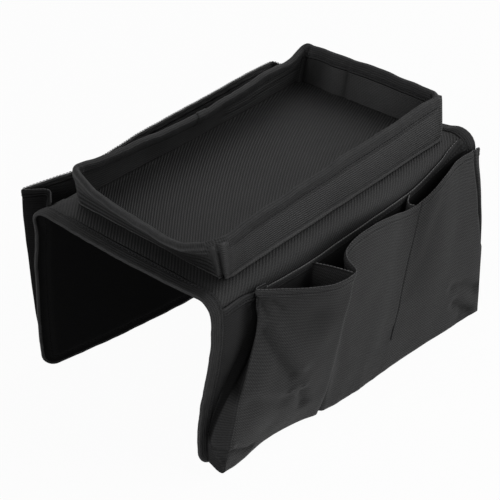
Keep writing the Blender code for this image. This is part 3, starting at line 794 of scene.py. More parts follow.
def math_node(tree, operation, *values):
    """A Math node whose inputs are sockets or numbers."""
    node = tree.nodes.new("ShaderNodeMath")
    node.operation = operation
    for socket, value in zip(node.inputs, values):
        if isinstance(value, (int, float)):
            socket.default_value = value
        else:
            tree.links.new(value, socket)
    return node.outputs[0]


# Noise of the grain and of the blotches, as scale and detail, and what each does to the tone
grain_noise = (900.0, 2.0)
blotch_noise = (45.0, 3.0)
blotch_tone = 0.35
blotch_roughness = 0.15
least_tone = 0.12
# How strongly the hollow attribute paints shade into grooves and a highlight onto ridges
painted_hollow_shade = 0.55


def wave(tree, axes, cycles):
    """A sine over the cloth's own coordinates, with the given cycles in a millimetre of each."""
    turn = 2 * math.pi * 1000
    turns = [math_node(tree, "MULTIPLY", axis, turn * count) for axis, count in zip(axes, cycles)]
    return math_node(tree, "SINE", math_node(tree, "ADD", *turns))


def noise_node(tree, vector, scale, detail):
    """Noise around 0 over the given coordinates."""
    node = tree.nodes.new("ShaderNodeTexNoise")
    node.inputs["Scale"].default_value = scale
    node.inputs["Detail"].default_value = detail
    tree.links.new(vector, node.inputs["Vector"])
    return math_node(tree, "SUBTRACT", node.outputs["Fac"], 0.5)


def woven(name, color, rib, dash, roughness, rib_share, relief_depth, level=0.2, grain=1.2, dash_share=0.35):
    """Cloth with ribs broken into dashes, faint blotches and a soft sheen."""
    material, tree, shader = new_material(name)
    place = tree.nodes.new("ShaderNodeUVMap")
    place.uv_map = "cloth"
    parts = tree.nodes.new("ShaderNodeSeparateXYZ")
    tree.links.new(place.outputs[0], parts.inputs[0])
    axes = (parts.outputs[0], parts.outputs[1])
    dashes = math_node(tree, "MULTIPLY_ADD", wave(tree, axes, dash), dash_share, 1 - dash_share)
    broken = math_node(tree, "MULTIPLY", wave(tree, axes, rib), dashes)
    fine = noise_node(tree, place.outputs[0], *grain_noise)
    blotch = noise_node(tree, place.outputs[0], *blotch_noise)
    weave = math_node(tree, "ADD", broken, math_node(tree, "MULTIPLY", fine, grain))
    tone = math_node(tree, "MULTIPLY_ADD", weave, rib_share, 1.0)
    tone = math_node(tree, "ADD", tone, math_node(tree, "MULTIPLY", blotch, blotch_tone))
    tone = math_node(tree, "MAXIMUM", tone, least_tone)
    # Painted shade and painted highlight: the tone is darkened where the hollow attribute is above 0 and
    # lightened where it is below 0
    hollow = tree.nodes.new("ShaderNodeAttribute")
    hollow.attribute_name = "hollow"
    painted_shade_factor = math_node(tree, "SUBTRACT", 1.0, math_node(tree, "MULTIPLY", hollow.outputs["Fac"], painted_hollow_shade))
    tone = math_node(tree, "MULTIPLY", tone, painted_shade_factor)
    shade = tree.nodes.new("ShaderNodeVectorMath")
    shade.operation = "SCALE"
    shade.inputs[0].default_value = color
    tree.links.new(tone, shade.inputs["Scale"])
    tree.links.new(shade.outputs[0], shader.inputs["Base Color"])
    bump = tree.nodes.new("ShaderNodeBump")
    bump.inputs["Strength"].default_value = 1.0
    bump.inputs["Distance"].default_value = relief_depth
    tree.links.new(weave, bump.inputs["Height"])
    tree.links.new(bump.outputs[0], shader.inputs["Normal"])
    rough = math_node(tree, "MULTIPLY_ADD", blotch, blotch_roughness, roughness)
    tree.links.new(rough, shader.inputs["Roughness"])
    shader.inputs["Specular IOR Level"].default_value = level
    return material


cloth_color = (0.0180, 0.0180, 0.0183)
wall_color = (0.0250, 0.0250, 0.0253)
# Painted highlights: light colours for the rows of beads along the hems' top folds, where the light catches
# them
hem_highlight_color = (0.0650, 0.0650, 0.0660)
roll_highlight_color = (0.1500, 0.1500, 0.1510)
gusset_color = (0.0185, 0.0185, 0.0188)
tape_color = (0.0148, 0.0148, 0.0151)
lining_color = (0.0062, 0.0062, 0.0064)
board_color = (0.30, 0.29, 0.27)
thread_color = (0.012, 0.012, 0.013)
# Each cloth: colour, cycles of its ribs and of its dashes in a millimetre along and across, roughness,
# strength of its ribs, their depth, specular level, grain and strength of its dashes
weaves = {
    "oxford_top": (cloth_color, (0.312, 0.276), (0.21, -0.38), 0.60, 0.62, 0.00014, 0.15, 2.4),
    "oxford_tray_floor": (cloth_color, (0.362, 0.227), (0.16, -0.42), 0.60, 1.05, 0.00020, 0.18),
    "oxford_tray_wall": (wall_color, (0.0, 0.500), (0.40, 0.05), 0.60, 1.0, 0.00020, 0.18, 1.8),
    "oxford_pocket": (cloth_color, (0.549, -0.500), (-0.599, 0.860), 0.60, 1.0, 0.00018, 0.15, 1.8, 0.55),
    "oxford_gusset": (gusset_color, (0.05, 0.47), (0.38, 0.10), 0.80, 0.30, 0.00008, 0.03, 2.2),
    "oxford_tray_inside": (wall_color, (0.0, 0.380), (0.40, 0.05), 0.60, 0.70, 0.00012, 0.18, 1.8),
    "binding_tape_cloth": (tape_color, (0.40, 0.26), (0.40, -0.26), 0.66, 1.0, 0.00014, 0.15, 1.6, 0.9),
    # Painted highlights along the hems' top folds
    "painted_hem_highlight": (hem_highlight_color, (0.40, 0.0), (0.0, 0.40), 0.60, 0.30, 0.00003, 0.25),
    "painted_backing_highlight": (roll_highlight_color, (0.40, 0.0), (0.0, 0.40), 0.60, 0.30, 0.00003, 0.25),
    "lining_cloth": (lining_color, (0.45, 0.45), (0.45, -0.45), 0.85, 0.15, 0.00003, 0.02),
    "board_fibre": (board_color, (0.12, 0.02), (0.03, 0.2), 0.85, 0.03, 0.00005),
    "thread": (thread_color, (0.9, 0.0), (0.0, 0.9), 0.55, 0.10, 0.00003),
}
(
    top_cloth, floor_cloth, wall_cloth, pocket_cloth, gusset_cloth, inner_cloth, tape_cloth, hem_highlight_cloth,
    roll_highlight_cloth, lining_cloth, board_surface, thread,
) = (woven(name, *weave) for name, weave in weaves.items())


# Putting pieces on the bodies
side_names = {1: "right", -1: "left"}


def place_piece(piece, side=None, bends=False, nodes=()):
    """Put a piece in place and hide the nodes it replaces: with bends, its place is baked into its mesh and
    it joins no body; otherwise it goes on its body. Side None is the saddle itself.
    """
    if bends:
        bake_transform(piece)
    elif side is None:
        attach(piece, "saddle")
    else:
        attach(piece, f"{side_names[side]}_flap")
    if nodes:
        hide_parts(*nodes)
    return piece


# The saddle's cloth as one shell, by the distance across it from the middle and the way along it
def bare_shell(side, across, along):
    """The saddle's outer face, without its small puckers."""
    turn = np.clip((across - flat_end) / fold_radius, 0.0, math.pi / 2)
    flat = np.minimum(across, flat_end)
    down = np.maximum(across - flap_start, 0.0)
    front, middle, rear = flap_leans[side]
    way = along / saddle_length + 0.5
    foot = front * (1 - way) * (1 - 2 * way) + middle * 4 * way * (1 - way) + rear * way * (2 * way - 1)
    depth = down / flap_length
    upper = ease(depth / shoulder_end_share)
    lower = ease((depth - lean_start_share) / (lean_end_share - lean_start_share))
    shoulder = shoulder_shares[side]
    lean = foot * (shoulder * upper + (1 - shoulder) * lower)
    x = flat + fold_radius * np.sin(turn) + lean
    crown = np.maximum(1 - (flat / flat_end) ** 2, 0.0)
    sag = front_sag * crown * ease(1 - (along + half_length) / sag_reach)
    sag = sag + rear_sag * crown * ease(1 - (half_length - along) / sag_reach)
    z = stack_height - fold_radius * (1 - np.cos(turn)) - down - sag
    return np.stack(np.broadcast_arrays(side * x, along, z), axis=-1)


def edge_distance(across, along):
    """How far a place on the saddle's cloth lies inside its free edge, up to the corner radius."""
    near_side = np.maximum(flap_corner_radius - (half_length - np.abs(along)), 0.0)
    near_foot = np.maximum(flap_corner_radius - (total_across - across), 0.0)
    return flap_corner_radius - np.hypot(near_side, near_foot)


def shell_relief(side, across, along, held=0.0):
    """Small swellings of the cloth, and puckers along its bound edge. Where it is held, no folds."""
    place = paired(side * across, along)
    puckers = swells(place, shell_puckers) * np.exp(-edge_distance(across, along) / pucker_reach)
    u, v = place[..., 0], place[..., 1]
    folds = dimple(u, v, *(corner_bulge if side < 0 else rear_bulge))
    if side < 0:
        folds = folds + creases(u, v, corner_creases)
    return swells(place, shell_swells) + puckers + folds * (1 - held)


def shell(side, across, along, out=0.0, held=0.0):
    """Points that stand off the saddle's outer face, and the directions outward there."""
    across, along = np.broadcast_arrays(np.asarray(across, float), np.asarray(along, float))
    wide = bare_shell(side, across + probe, along) - bare_shell(side, across - probe, along)
    long = bare_shell(side, across, along + probe) - bare_shell(side, across, along - probe)
    normals = side * unit(np.cross(wide, long))
    lift = np.broadcast_to(out, across.shape) + shell_relief(side, across, along, held)
    return bare_shell(side, across, along) + normals * lift[..., None], normals


def stack_at(inset):
    """The thickness of the saddle's layers at a distance inside its edge, where they close up."""
    share = ease((inset - stack_fade_start) / (stack_fade_end - stack_fade_start))
    return mix(edge_stack, stack_height, share)


def lining_held(inset):
    """How firmly the boards hold the lining at a distance inside the saddle's edge."""
    return ease((inset - held_start) / (held_end - held_start))


def half_grid(inset):
    """Places on one half of the saddle: rows outward from its middle, columns from front to rear."""
    radius = flap_corner_radius - inset
    reach = half_length - inset
    turns = np.linspace(0.0, math.pi / 2, corner_steps)
    corner = reach - radius + radius * np.sin(turns)
    inner = np.linspace(-(reach - radius), reach - radius, round(2 * (reach - radius) / cloth_step) + 1)
    along = np.concatenate([-corner[:0:-1], inner, corner[1:]])
    past = np.maximum(np.abs(along) - (reach - radius), 0.0)
    foot = total_across - inset - radius + np.sqrt(np.maximum(radius**2 - past**2, 0.0))
    level = total_across - 2 * flap_corner_radius
    upper = np.linspace(0.0, level, round(level / cloth_step) + 1)
    upper = np.insert(upper, 1, middle_step)
    shares = np.linspace(0.0, 1.0, foot_steps)[1:, None]
    across = np.concatenate([np.repeat(upper[:, None], len(along), axis=1), mix(level, foot, shares)])
    return across, np.broadcast_to(along, across.shape)


def saddle_half(side):
    """Cover and lining from the middle of the top, over the bend and down to the flap's foot."""
    name = side_names[side]
    across, along = half_grid(cloth_inset)
    uv = paired(side * across, along)
    points, normals = shell(side, across, along)
    # Painted shade and light of the cover's zones
    tone = dimples(uv[..., 0], uv[..., 1], cover_painted_light)
    piece = cloth(f"cover_{name}", points, cover_thickness, uv, top_cloth, normals, flip=side < 0, shade=tone)
    nodes = ["top_cover", f"{name}_fold_cover", f"{name}_flap_cover"]
    place_piece(piece, side, True, nodes)
    inset = edge_distance(across, along)
    points, normals = shell(side, across, along, -stack_at(inset), lining_held(inset))
    piece = cloth(f"lining_{name}", points, lining_thickness, uv, lining_cloth, -normals, flip=side > 0)
    nodes = ["top_lining", f"{name}_fold_lining", f"{name}_flap_lining"]
    place_piece(piece, side, True, nodes)


def edge_path():
    """Stations round one half's free edge: across, along, and the direction away from the cloth."""
    upright = total_across - flap_corner_radius
    reach = half_length - flap_corner_radius
    turns = np.linspace(0.0, math.pi / 2, tape_corner_steps)[1:-1]
    down = np.linspace(0.0, upright, round(upright / cloth_step) + 1)
    down = np.insert(down, 1, middle_step)
    level = np.linspace(-reach, reach, round(2 * reach / cloth_step) + 1)
    sin, cos = np.sin(turns), np.cos(turns)
    front = np.stack([down, np.full(len(down), -half_length), 0 * down, 0 * down - 1], axis=-1)
    corner = np.stack(
        [upright + flap_corner_radius * sin, -reach - flap_corner_radius * cos, sin, -cos], axis=-1
    )
    foot = np.stack([np.full(len(level), total_across), level, 0 * level + 1, 0 * level], axis=-1)
    mirror = np.array((1, -1, 1, -1))
    path = np.concatenate([front, corner, foot, corner[::-1] * mirror, front[::-1] * mirror])
    return path.T


def tape_line(side, path, inset, offset, inner):
    """A line that follows the edge at an inset, on the outer face or on the lining's face."""
    across, along, away_across, away_along = path
    out = -stack_at(inset) - offset if inner else offset
    held = lining_held(inset) if inner else 0.0
    points, normals = shell(side, across - away_across * inset, along - away_along * inset, out, held)
    return points, -normals if inner else normals


def mottle(name, run, width):
    """The uneven tone of a tape, over the distance along it and across it."""
    return mottle_tone * smooth_noise(paired(run, width[:, None]), mottle_size, mottle_seeds[name])


def edge_tape(side):
    """The tape folded over one half's free edge, and its two rows of stitches."""
    path = edge_path()
    name = side_names[side]
    lines = [tape_line(side, path, inset, out, False)[0] for inset, out in tape_lip + tape_leg]
    across, along, away_across, away_along = path
    for angle in fold_angles:
        inset = tape_radius - tape_radius * math.cos(angle)
        out = tape_radius * math.sin(angle) - edge_stack / 2
        lines.append(shell(side, across - away_across * inset, along - away_along * inset, out)[0])
    for inset, out in reversed(tape_leg):
        inner = tape_line(side, path, inset * inner_leg_share, out * inner_leg_height_share, True)
        lines.append(inner[0])
    points = np.stack(lines)
    run = run_length(points[len(tape_leg)])
    width = run_length(points[:, 0])
    # Painted shade over the edge tape, with uneven mottling of its tone
    shade = edge_tape_painted_shade + mottle(name, run, width)
    # Painted shadow on the lip rows
    shade[: len(tape_lip)] = lip_painted_shadow
    # Painted shade in the stitched groove
    shade[len(tape_lip) + tape_leg.index(tape_row)] += tape_groove_painted_shade
    uv = paired(run, width[:, None])
    piece = cloth(f"edge_tape_{name}", points, tape_film, uv, tape_cloth, flip=side > 0, shade=shade)
    nodes = [f"{name}_flap_binding", f"{name}_fold_binding_front", f"{name}_fold_binding_rear"]
    nodes += ["top_binding_front", "top_binding_rear"]
    place_piece(piece, side, True, nodes)
    rows = [tape_line(side, path, *tape_row, False)]
    place_piece(stitches(f"edge_stitches_{name}", rows, thread), side, True)
    rows = [tape_line(side, path, tape_row[0], 0.0, True)]
    place_piece(stitches(f"lining_stitches_{name}", rows, lining_cloth), side, True)


# Tray
def ring_stations():
    """Stations round the tray's foot, how the rim leans from each, and its distance from a corner."""
    feet, leans, marks, start = [], [], [], 0.0
    for along, out, first, last, bow, bow_shares in tray_sides:
        along = np.array(along, float)
        out = np.array(out, float)
        lengthwise = abs(out[0]) > 0.5
        half = tray_half_length if lengthwise else tray_half_width
        away = tray_half_width if lengthwise else tray_half_length
        arc = tray_corner_radius * math.pi / 4
        run = 2 * (half - tray_corner_radius)
        total = run + 2 * arc
        near = np.linspace(0.0, corner_stretch, corner_columns)
        columns = round((total - 2 * corner_stretch) / ring_step) + 1
        middle = np.linspace(corner_stretch, total - corner_stretch, columns)
        distance = np.concatenate([near, middle[1:-1], total - near[:0:-1]])
        straight = np.clip(distance - arc, 0.0, run)
        turn = ((distance - arc - straight) / tray_corner_radius)[:, None]
        centre = along * (straight - run / 2)[:, None] + out * (away - tray_corner_radius)
        feet.append(centre + (along * np.sin(turn) + out * np.cos(turn)) * tray_corner_radius)
        way = distance / total
        ends = [np.array((*corner_lean_shares[c], 0.0)) * tray_wall_length for c in (first, last)]
        shares = np.array(bow_shares)
        bowed = np.interp(way, shares[:, 0], shares[:, 1]) * bow
        leans.append(mix(ends[0], ends[1], way[:, None]) + out * bowed[:, None])
        signed = np.where(distance < total / 2, distance, distance - total)
        strength = np.where(distance < total / 2, seam_strengths[first], seam_strengths[last])
        piping = np.full(len(distance), piping_strengths[first])
        marks.append(np.stack([start + distance, np.abs(signed), signed, strength, piping], axis=-1))
        start += total
    return np.concatenate(feet), np.concatenate(leans), np.concatenate(marks), start


ring_feet, ring_leans, ring_marks, ring_total = ring_stations()
ring_run = ring_marks[:, 0]
ring_corner = ring_marks[:, 1]
ring_signed = ring_marks[:, 2]
ring_strength = ring_marks[:, 3]
side_numbers = np.zeros(len(ring_run), int)
side_numbers[1:] = np.cumsum((ring_corner[1:] == 0.0).astype(int))
lean_gaps = (ring_run[:, None] - ring_run[None] + ring_total / 2) % ring_total - ring_total / 2
lean_weights = np.exp(-((lean_gaps / lean_spread) ** 2)) * np.gradient(ring_run)
ring_leans = lean_weights @ ring_leans / lean_weights.sum(axis=1, keepdims=True)
ring_piping = lean_weights @ ring_marks[:, 4] / lean_weights.sum(axis=1)


def ring_gap(run):
    """How far round the rim each station lies from a place, the short way."""
    return (ring_run - run + ring_total / 2) % ring_total - ring_total / 2


def front_share(run):
    """1 along the front wall and 0 past its right end."""
    return 1 - ramp(run, *front_end)


def ring_surface(height):
    """The walls' outer face at one share of their height."""
    rise = np.sqrt(tray_wall_length**2 - (ring_leans**2).sum(axis=-1))
    bent = height * mix(1.0, height, wall_curve_share)
    points = tray_centre + ring_feet + ring_leans * bent
    turn = ring_run / ring_total * 2 * math.pi
    wave_height = sum(size * np.sin(count * turn + phase) for count, phase, size in rim_waves)
    for run, width, size in rim_dips:
        wave_height = wave_height + size * bell(ring_gap(run), 0.0, width)
    points[:, 2] = tray_foot + rise * height + wave_height * height**3
    return points


def ring_line(height, out):
    """A line round the tray that stands off the walls' outer face, and the directions outward."""
    base = ring_surface(height)
    around = np.roll(base, -1, axis=0) - np.roll(base, 1, axis=0)
    up = ring_surface(height + height_probe) - ring_surface(height - height_probe)
    normals = unit(np.cross(around, up))
    turn = ring_run / ring_total * 2 * math.pi
    rise = height * tray_wall_length
    circle = np.stack([np.cos(turn), np.sin(turn)]) * ring_total / 2 / math.pi
    spot = np.concatenate([circle, np.full((1, len(base)), rise)]).T
    near_ends = np.exp(-height * foot_pucker_fade) + np.exp((height - 1) * rim_pucker_fade)
    lift = out + swells(spot, wall_swells) + swells(spot, wall_puckers) * near_ends
    lift = lift + creases(ring_run, rise, wall_creases)
    for run, middle, width, reach, size in wall_folds:
        lift = lift + size * bell(ring_gap(run), 0.0, width) * bell(height, middle, reach)
    return base + normals * lift[:, None], normals


def tray_walls():
    """The walls' cloth: one ring, up the outer face, over the rim and down the inner face."""
    seam = profile(ring_signed, seam_profile) * ring_strength
    corner = profile(ring_signed, corner_profile) * ring_strength
    radius = wall_thickness / 2
    rim = radius / tray_wall_length
    section = [(height, 0.0) for height in wall_foot_heights]
    section += [(height, 0.0) for height in np.linspace(wall_body_start, 1 - rim, wall_body_rows)]
    outer_rows = len(section)
    for turn in wall_turns:
        angle = math.radians(turn)
        section.append((1 - rim + rim * math.cos(angle), radius * math.sin(angle) - radius))
    section += [(height, -wall_thickness) for height in np.linspace(1 - rim, wall_inner_end, wall_inner_rows)]
    lines = []
    for number, (height, out) in enumerate(section):
        if number < outer_rows:
            rise = height * tray_wall_length
            piping = profile(rise, piping_profile) * ring_piping
            out = out + seam + corner * ramp(rise, *corner_rise) + piping
        lines.append(ring_line(height, out)[0])
    points = np.stack(lines)
    width = run_length(points[:, 0])
    uv = np.array(paired(np.append(ring_run, ring_total), width[:, None]))
    start, end, fade = rear_wall
    uv[..., 1] *= 1 - front_squeeze * front_share(uv[..., 0])
    uv[..., 1] *= 1 + ramp(uv[..., 0], start, fade) * (1 - ramp(uv[..., 0], end, fade))
    rises = np.array([height * tray_wall_length for height, _ in section])[:, None]
    # Painted shade beside the piping and painted shadow at the wall's foot
    foot = profile(rises, piping_painted_shade) + foot_painted_shadow * (rises < border_rise)
    # Painted shade and light of the outer face
    tone = foot * ring_piping + front_wall_painted_shade * front_share(ring_run) + profile(ring_run, outer_painted_light)
    outer = (np.arange(len(section)) < outer_rows)[:, None]
    # The inner face gets its own painted shade and light
    tone = np.where(outer, tone, profile(ring_run, inner_painted_light))
    nodes = [f"tray_{name}_wall" for name in wall_names]
    outer_nodes = nodes + [f"tray_corner_seam_{corner}" for corner in corner_lean_shares]
    outer_nodes.append("tray_base_piping")
    boards = wall_inserts()
    cut = outer_rows + len(wall_turns) // 2 + 1
    parts = (
        ("tray_walls", slice(0, cut), wall_cloth, outer_nodes),
        ("tray_inner_walls", slice(cut - 1, len(section)), inner_cloth, nodes),
    )
    for name, kept, material, replaced in parts:
        piece = cloth(name, points[kept], tray_skin, uv[kept], material, ring=True, shade=tone[kept])
        place_piece(piece, None, False, replaced)


def wall_inserts():
    """The stiff boards inside the walls, which follow the cloth."""
    names = []
    for number, name in enumerate(wall_names):
        kept = (side_numbers == number) & (ring_corner > insert_corner_gap)
        points = np.stack([ring_line(height, -insert_depth)[0][kept] for height in insert_heights])
        rises = np.linspace(0.0, tray_wall_length, len(insert_heights))
        place = paired(ring_run[kept], rises[:, None])
        piece = cloth(f"{name}_wall_insert", points, insert_thickness, place, board_surface)
        place_piece(piece, None, False, [f"tray_{name}_wall_board"])
        names.append(piece.name)
    return names


def tray_rim():
    """The tape folded over the rim, its stitches, and the lap where its two ends meet."""
    radius = wall_thickness / 2 + rim_stand
    top = 1 - wall_thickness / 2 / tray_wall_length
    section = list(rim_leg)
    for angle in fold_angles:
        height = top + radius * math.cos(angle) / tray_wall_length
        section.append((height, radius * math.sin(angle) - wall_thickness / 2))
    section += [(height, -wall_thickness - out) for height, out in reversed(rim_leg)]
    points = np.stack([ring_line(height, out)[0] for height, out in section])
    width = run_length(points[:, 0])
    uv = np.array(paired(np.append(ring_run, ring_total), width[:, None]))
    uv[..., 1] *= 1 - front_squeeze * front_share(uv[..., 0])
    # Painted light on the rim's tape, with uneven mottling of its tone
    shade = rim_painted_light + mottle("rim", ring_run, width)
    # Painted shadow on the lip rows at both edges of the rim's tape
    shade[:2] = lip_painted_shadow
    shade[-2:] = lip_painted_shadow * inner_lip_share
    piece = cloth("tray_rim_tape", points, tape_film, uv, tape_cloth, ring=True, shade=shade)
    place_piece(piece, None, False, ["tray_rim_binding"])
    rows = []
    for out in (rim_row_out, -wall_thickness - rim_row_out):
        line, facing = [np.append(table, table[:1], axis=0) for table in ring_line(rim_row, out)]
        rows.append((line, facing * np.sign(out)))
    place_piece(stitches("rim_stitches", rows, thread))
    lap_runs = np.linspace(0.0, lap_width, lap_columns)
    lap = []
    for number, (height, out) in enumerate(section):
        line, _ = ring_line(height, out)
        slant = lap_slant * (number / (len(section) - 1) - lap_middle_share)
        runs = lap_start + slant + lap_runs
        lap.append(np.stack([np.interp(runs, ring_run, line[:, k]) for k in range(3)], axis=-1))
    lap = np.stack(lap)
    lap = lap + grid_normals(lap) * tape_thickness
    piece = cloth("tray_rim_lap", lap, tape_thickness, paired(lap_runs, width[:, None]), tape_cloth)
    place_piece(piece, None, False, ())


def tray_floor():
    """The floor's cloth, which meets the walls' inner face all round."""
    height = (tray_floor_top - tray_foot) / tray_wall_length
    line = ring_surface(height)
    around = np.roll(line, -1, axis=0) - np.roll(line, 1, axis=0)
    outward = unit(np.cross(around, np.array((0.0, 0.0, 1.0))))
    line = line - outward * floor_tuck
    bounds = []
    for number, axis in ((0, 1), (1, 0), (2, 1), (3, 0)):
        on_side = side_numbers == number
        places = line[on_side & (ring_corner > floor_corner_gap)]
        order = np.argsort(places[:, 1 - axis])
        bounds.append((places[order, 1 - axis], places[order, axis]))
    p, q = np.meshgrid(np.linspace(0.0, 1.0, floor_columns), np.linspace(0.0, 1.0, floor_rows))
    x = mix(-tray_half_width, tray_half_width, p) + tray_centre[0]
    y = mix(-tray_half_length, tray_half_length, q) + tray_centre[1]
    for _ in range(2):
        new_x = mix(np.interp(y, *bounds[3]), np.interp(y, *bounds[1]), p)
        new_y = mix(np.interp(x, *bounds[0]), np.interp(x, *bounds[2]), q)
        x, y = new_x, new_y
    place = paired(x, y)
    edge = np.minimum(np.minimum(p, 1 - p) * 2 * tray_half_width, np.minimum(q, 1 - q) * 2 * tray_half_length)
    lift = swells(place, floor_swells) * ease(edge / floor_calm_width)
    lift = lift + floor_edge_lift * (1 - ease(edge / floor_edge_width))
    points = np.stack([x, y, tray_floor_top + lift], axis=-1)
    place = paired(x - floor_rib_bend * y**2, y)
    piece = cloth("tray_floor_cloth", points, cover_thickness, place, floor_cloth)
    place_piece(piece, None, False, ["tray_floor_cover"])


# Pockets
def rows_between(grid, at):
    """A grid's rows read at fractional row numbers, on straight lines between them."""
    low = np.minimum(at.astype(int), len(grid) - 2)
    return mix(grid[low], grid[low + 1], (at - low)[:, None, None])


def strip_grid(controls, breaks, fine_rows):
    """A strip of cloth through lines of control points, in even columns, its folds a little rounded."""
    dense, numbers = [], []
    for first, last in zip(breaks, breaks[1:]):
        at = np.linspace(0, last - first, (last - first) * spline_steps + 1)
        if first != breaks[0]:
            at = at[1:]
        dense.append(spline(controls[first : last + 1], at))
        numbers.append(at + first)
    dense = np.concatenate(dense)
    steps = np.linalg.norm(np.diff(dense, axis=0), axis=-1).mean(axis=1)
    run = np.concatenate([[0.0], np.cumsum(steps)])
    u = np.linspace(0.0, run[-1], round(run[-1] / strip_step) + 1)
    grid = rows_between(dense, np.interp(u, run, np.arange(len(run))))
    for _ in range(strip_rounding):
        grid[1:-1] = (grid[:-2] + 2 * grid[1:-1] + grid[2:]) / 4
    marks = np.interp(np.arange(len(controls)), np.concatenate(numbers), run)
    offsets = [sign * offset for sign in (-1, 0, 1) for offset in fine_offsets]
    extra = [marks[row] + offset for row in fine_rows for offset in offsets]
    fine = np.unique(np.round(np.concatenate([u, extra]), 6))
    fine = fine[np.concatenate([[True], np.diff(fine) > least_step])]
    grid = rows_between(grid, np.interp(fine, u, np.arange(len(u))))
    return np.swapaxes(grid, 0, 1), fine, marks


def pocket_rows(length):
    """Distances down a panel, close together at its hem."""
    body = np.linspace(row_start, length, round((length - row_start) / row_step) + 1)
    return np.concatenate([hem_rows, body])


def hem_relief(down):
    """The raised band of a hem, with a groove where it is stitched."""
    band = hem_rise * (1 - ramp(down, *hem_band)) - hem_rise * (1 - ramp(down, *hem_border))
    return band - profile(down, hem_groove)


def panel_row(number, down_share):
    """The right front panel's outer face at one row of its table."""
    mouth_along, mouth_out, mouth_down, foot_along, foot_out, foot_down = right_pocket_shares[number]
    power = mix(pocket_turn_power, 1.0, ease(number / divider_row))
    along = mix(mouth_along, foot_along, down_share**power) * saddle_length
    if number < len(front_edge_weights):
        along = along + read_curve(front_edge_shifts, down_share) * front_edge_weights[number]
    near = bell(number, divider_row, divider_reach)
    along = along + read_curve(divider_shifts, down_share) * near
    belly = pocket_belly_share * 4 * down_share * (1 - down_share)
    out = (mix(mouth_out, foot_out, down_share) + belly) * pocket_depth
    down = mix(mouth_down, foot_down, down_share) * flap_drop
    return np.stack([half_width + out, along, stack_height - down], axis=-1)


def left_panel_row(along_share, down_share):
    """The left front panel's outer face at one share along the saddle."""
    table = np.array(left_pocket_shares)
    along = along_share * saddle_length
    foot_face = -bare_shell(-1, np.array(total_across), np.array(along))[0] - half_width
    out = mix(read_curve(table, along_share) * pocket_depth, foot_face + left_foot_depth, down_share)
    belly = left_belly * 4 * down_share * (1 - down_share)
    down = mix(left_mouth_drop_share, left_foot_drop_share, down_share) * flap_drop
    return np.stack([-half_width - out - belly, along + 0 * down, stack_height - down], axis=-1)


def seam_on_flap(side, along, z, out=seat_out):
    """Points on a flap's outer face at given places along it and heights."""
    return shell(side, flap_start + stack_height - fold_radius - z, along, out)[0]


def gusset_lines(side, edge, gusset, share, tuck=0.0, fold_out=0.5, seam_drop=0.0):
    """Lines of a gusset from its seam on the flap, through its fold, nearly to the panel's edge."""
    seams, folds = gusset
    height = edge[:, 2] - seam_drop * (1 - ease(share / seam_drop_share))
    seam = seam_on_flap(side, mix(*seams, share) * saddle_length, height)
    fold = mix(seam, edge, mix(0.5, fold_out, share)[:, None])
    fold[:, 1] = mix(*folds, share) * saddle_length
    tucked = (tuck * ramp(share, tuck_start, 1 - tuck_start))[:, None]
    fold = mix(fold, mix(seam, edge, tuck_edge_share), tucked)
    return [seam, mix(seam, fold, 0.5), fold, mix(fold, edge, 0.5)]


def strip_relief(u, v, length, seed):
    """What every pocket panel has: soft swellings, puckers at its hem, and its raised hem band."""
    place = paired(u, v)
    near_ends = np.exp(-v / end_reach) + np.exp(-(length - v) / end_reach)
    puckers = swells(place, strip_puckers, seed) * near_ends
    return swells(place, strip_swells, seed) * ramp(v, *swell_start) + puckers + hem_relief(v)


def right_relief(u, v, marks, length):
    """The folds and seams of the right pocket's strip."""
    first = len(front_part)
    divider_u = marks[first + divider_row]
    rear_edge = marks[first + len(right_rows) - 1]
    lift = strip_relief(u, v, length, right_strip_seed)
    step = (1 - ramp(u, divider_u, step_fade)) * np.exp(-np.maximum(divider_u - u, 0.0) / step_reach)
    lift += step_height * step * ramp(v, *step_mouth) * (1 - step_foot_loss * ramp(v, *step_foot))
    lift -= hollow_depth * bell(u, divider_u + hollow_shift, hollow_width) * ramp(v, *hollow_mouth)
    lift += creases(u, v, panel_creases) + dimples(u, v, panel_dents)
    away = u - marks[first + stitch_row] - read_curve(seam_bend, v)
    lift -= ease((stitch_end_share * length - v) / seam_end_fade) * profile(away, seam_grooves)
    start, end, width, depth = rear_crease
    lift -= crease(rear_edge - u, v, start, end, width, depth)
    return lift


def right_shade(u, v, marks):
    """Painted shade and light of the right pocket's strip: painted shadow where the front gusset lies deep in
    its recess, painted light on the gusset's lower facet, on the rear gusset and beside the seam, painted
    shade in the rear groove.
    """
    first = len(front_part)
    rear_edge = marks[first + len(right_rows) - 1]
    seam = marks[first + stitch_row]
    deep = (1 - ramp(u, marks[2] - recess_end_fade, recess_end_fade)) * ramp(u, *recess_border)
    deep = deep * (1 - ramp(v, *recess_foot))
    upper = 1 - ramp(u, marks[first], edge_fade)
    lower = ramp(v, *recess_turn)
    shade = recess_painted_shadow * np.maximum(deep, upper * (1 - lower))
    shade += recess_foot_painted_light * upper * (1 - deep) * lower
    groove = bell(u, rear_edge - groove_start + groove_slant * v, groove_width) * (1 - ramp(v, *groove_foot))
    shade += rear_painted_light * ramp(u, rear_edge, rear_fade) * (1 - ramp(v, *rear_foot)) + rear_groove_painted_shade * groove
    beside = np.exp(-np.maximum(u - seam, 0.0) / seam_tone_reach)
    return shade + seam_painted_light * ramp(u, seam, seam_tone_fade) * beside + dimples(u, v, strip_painted_light)


def left_shade(u, v, marks):
    """Painted shade of the left pocket's strip: dark where the front gusset lies in its recess."""
    start, width = left_edge
    return 1.0 - ramp(u, marks[len(left_front)] + start, width)


def left_relief(u, v, marks, length):
    """The folds of the left pocket's strip."""
    return strip_relief(u, v, length, left_strip_seed)


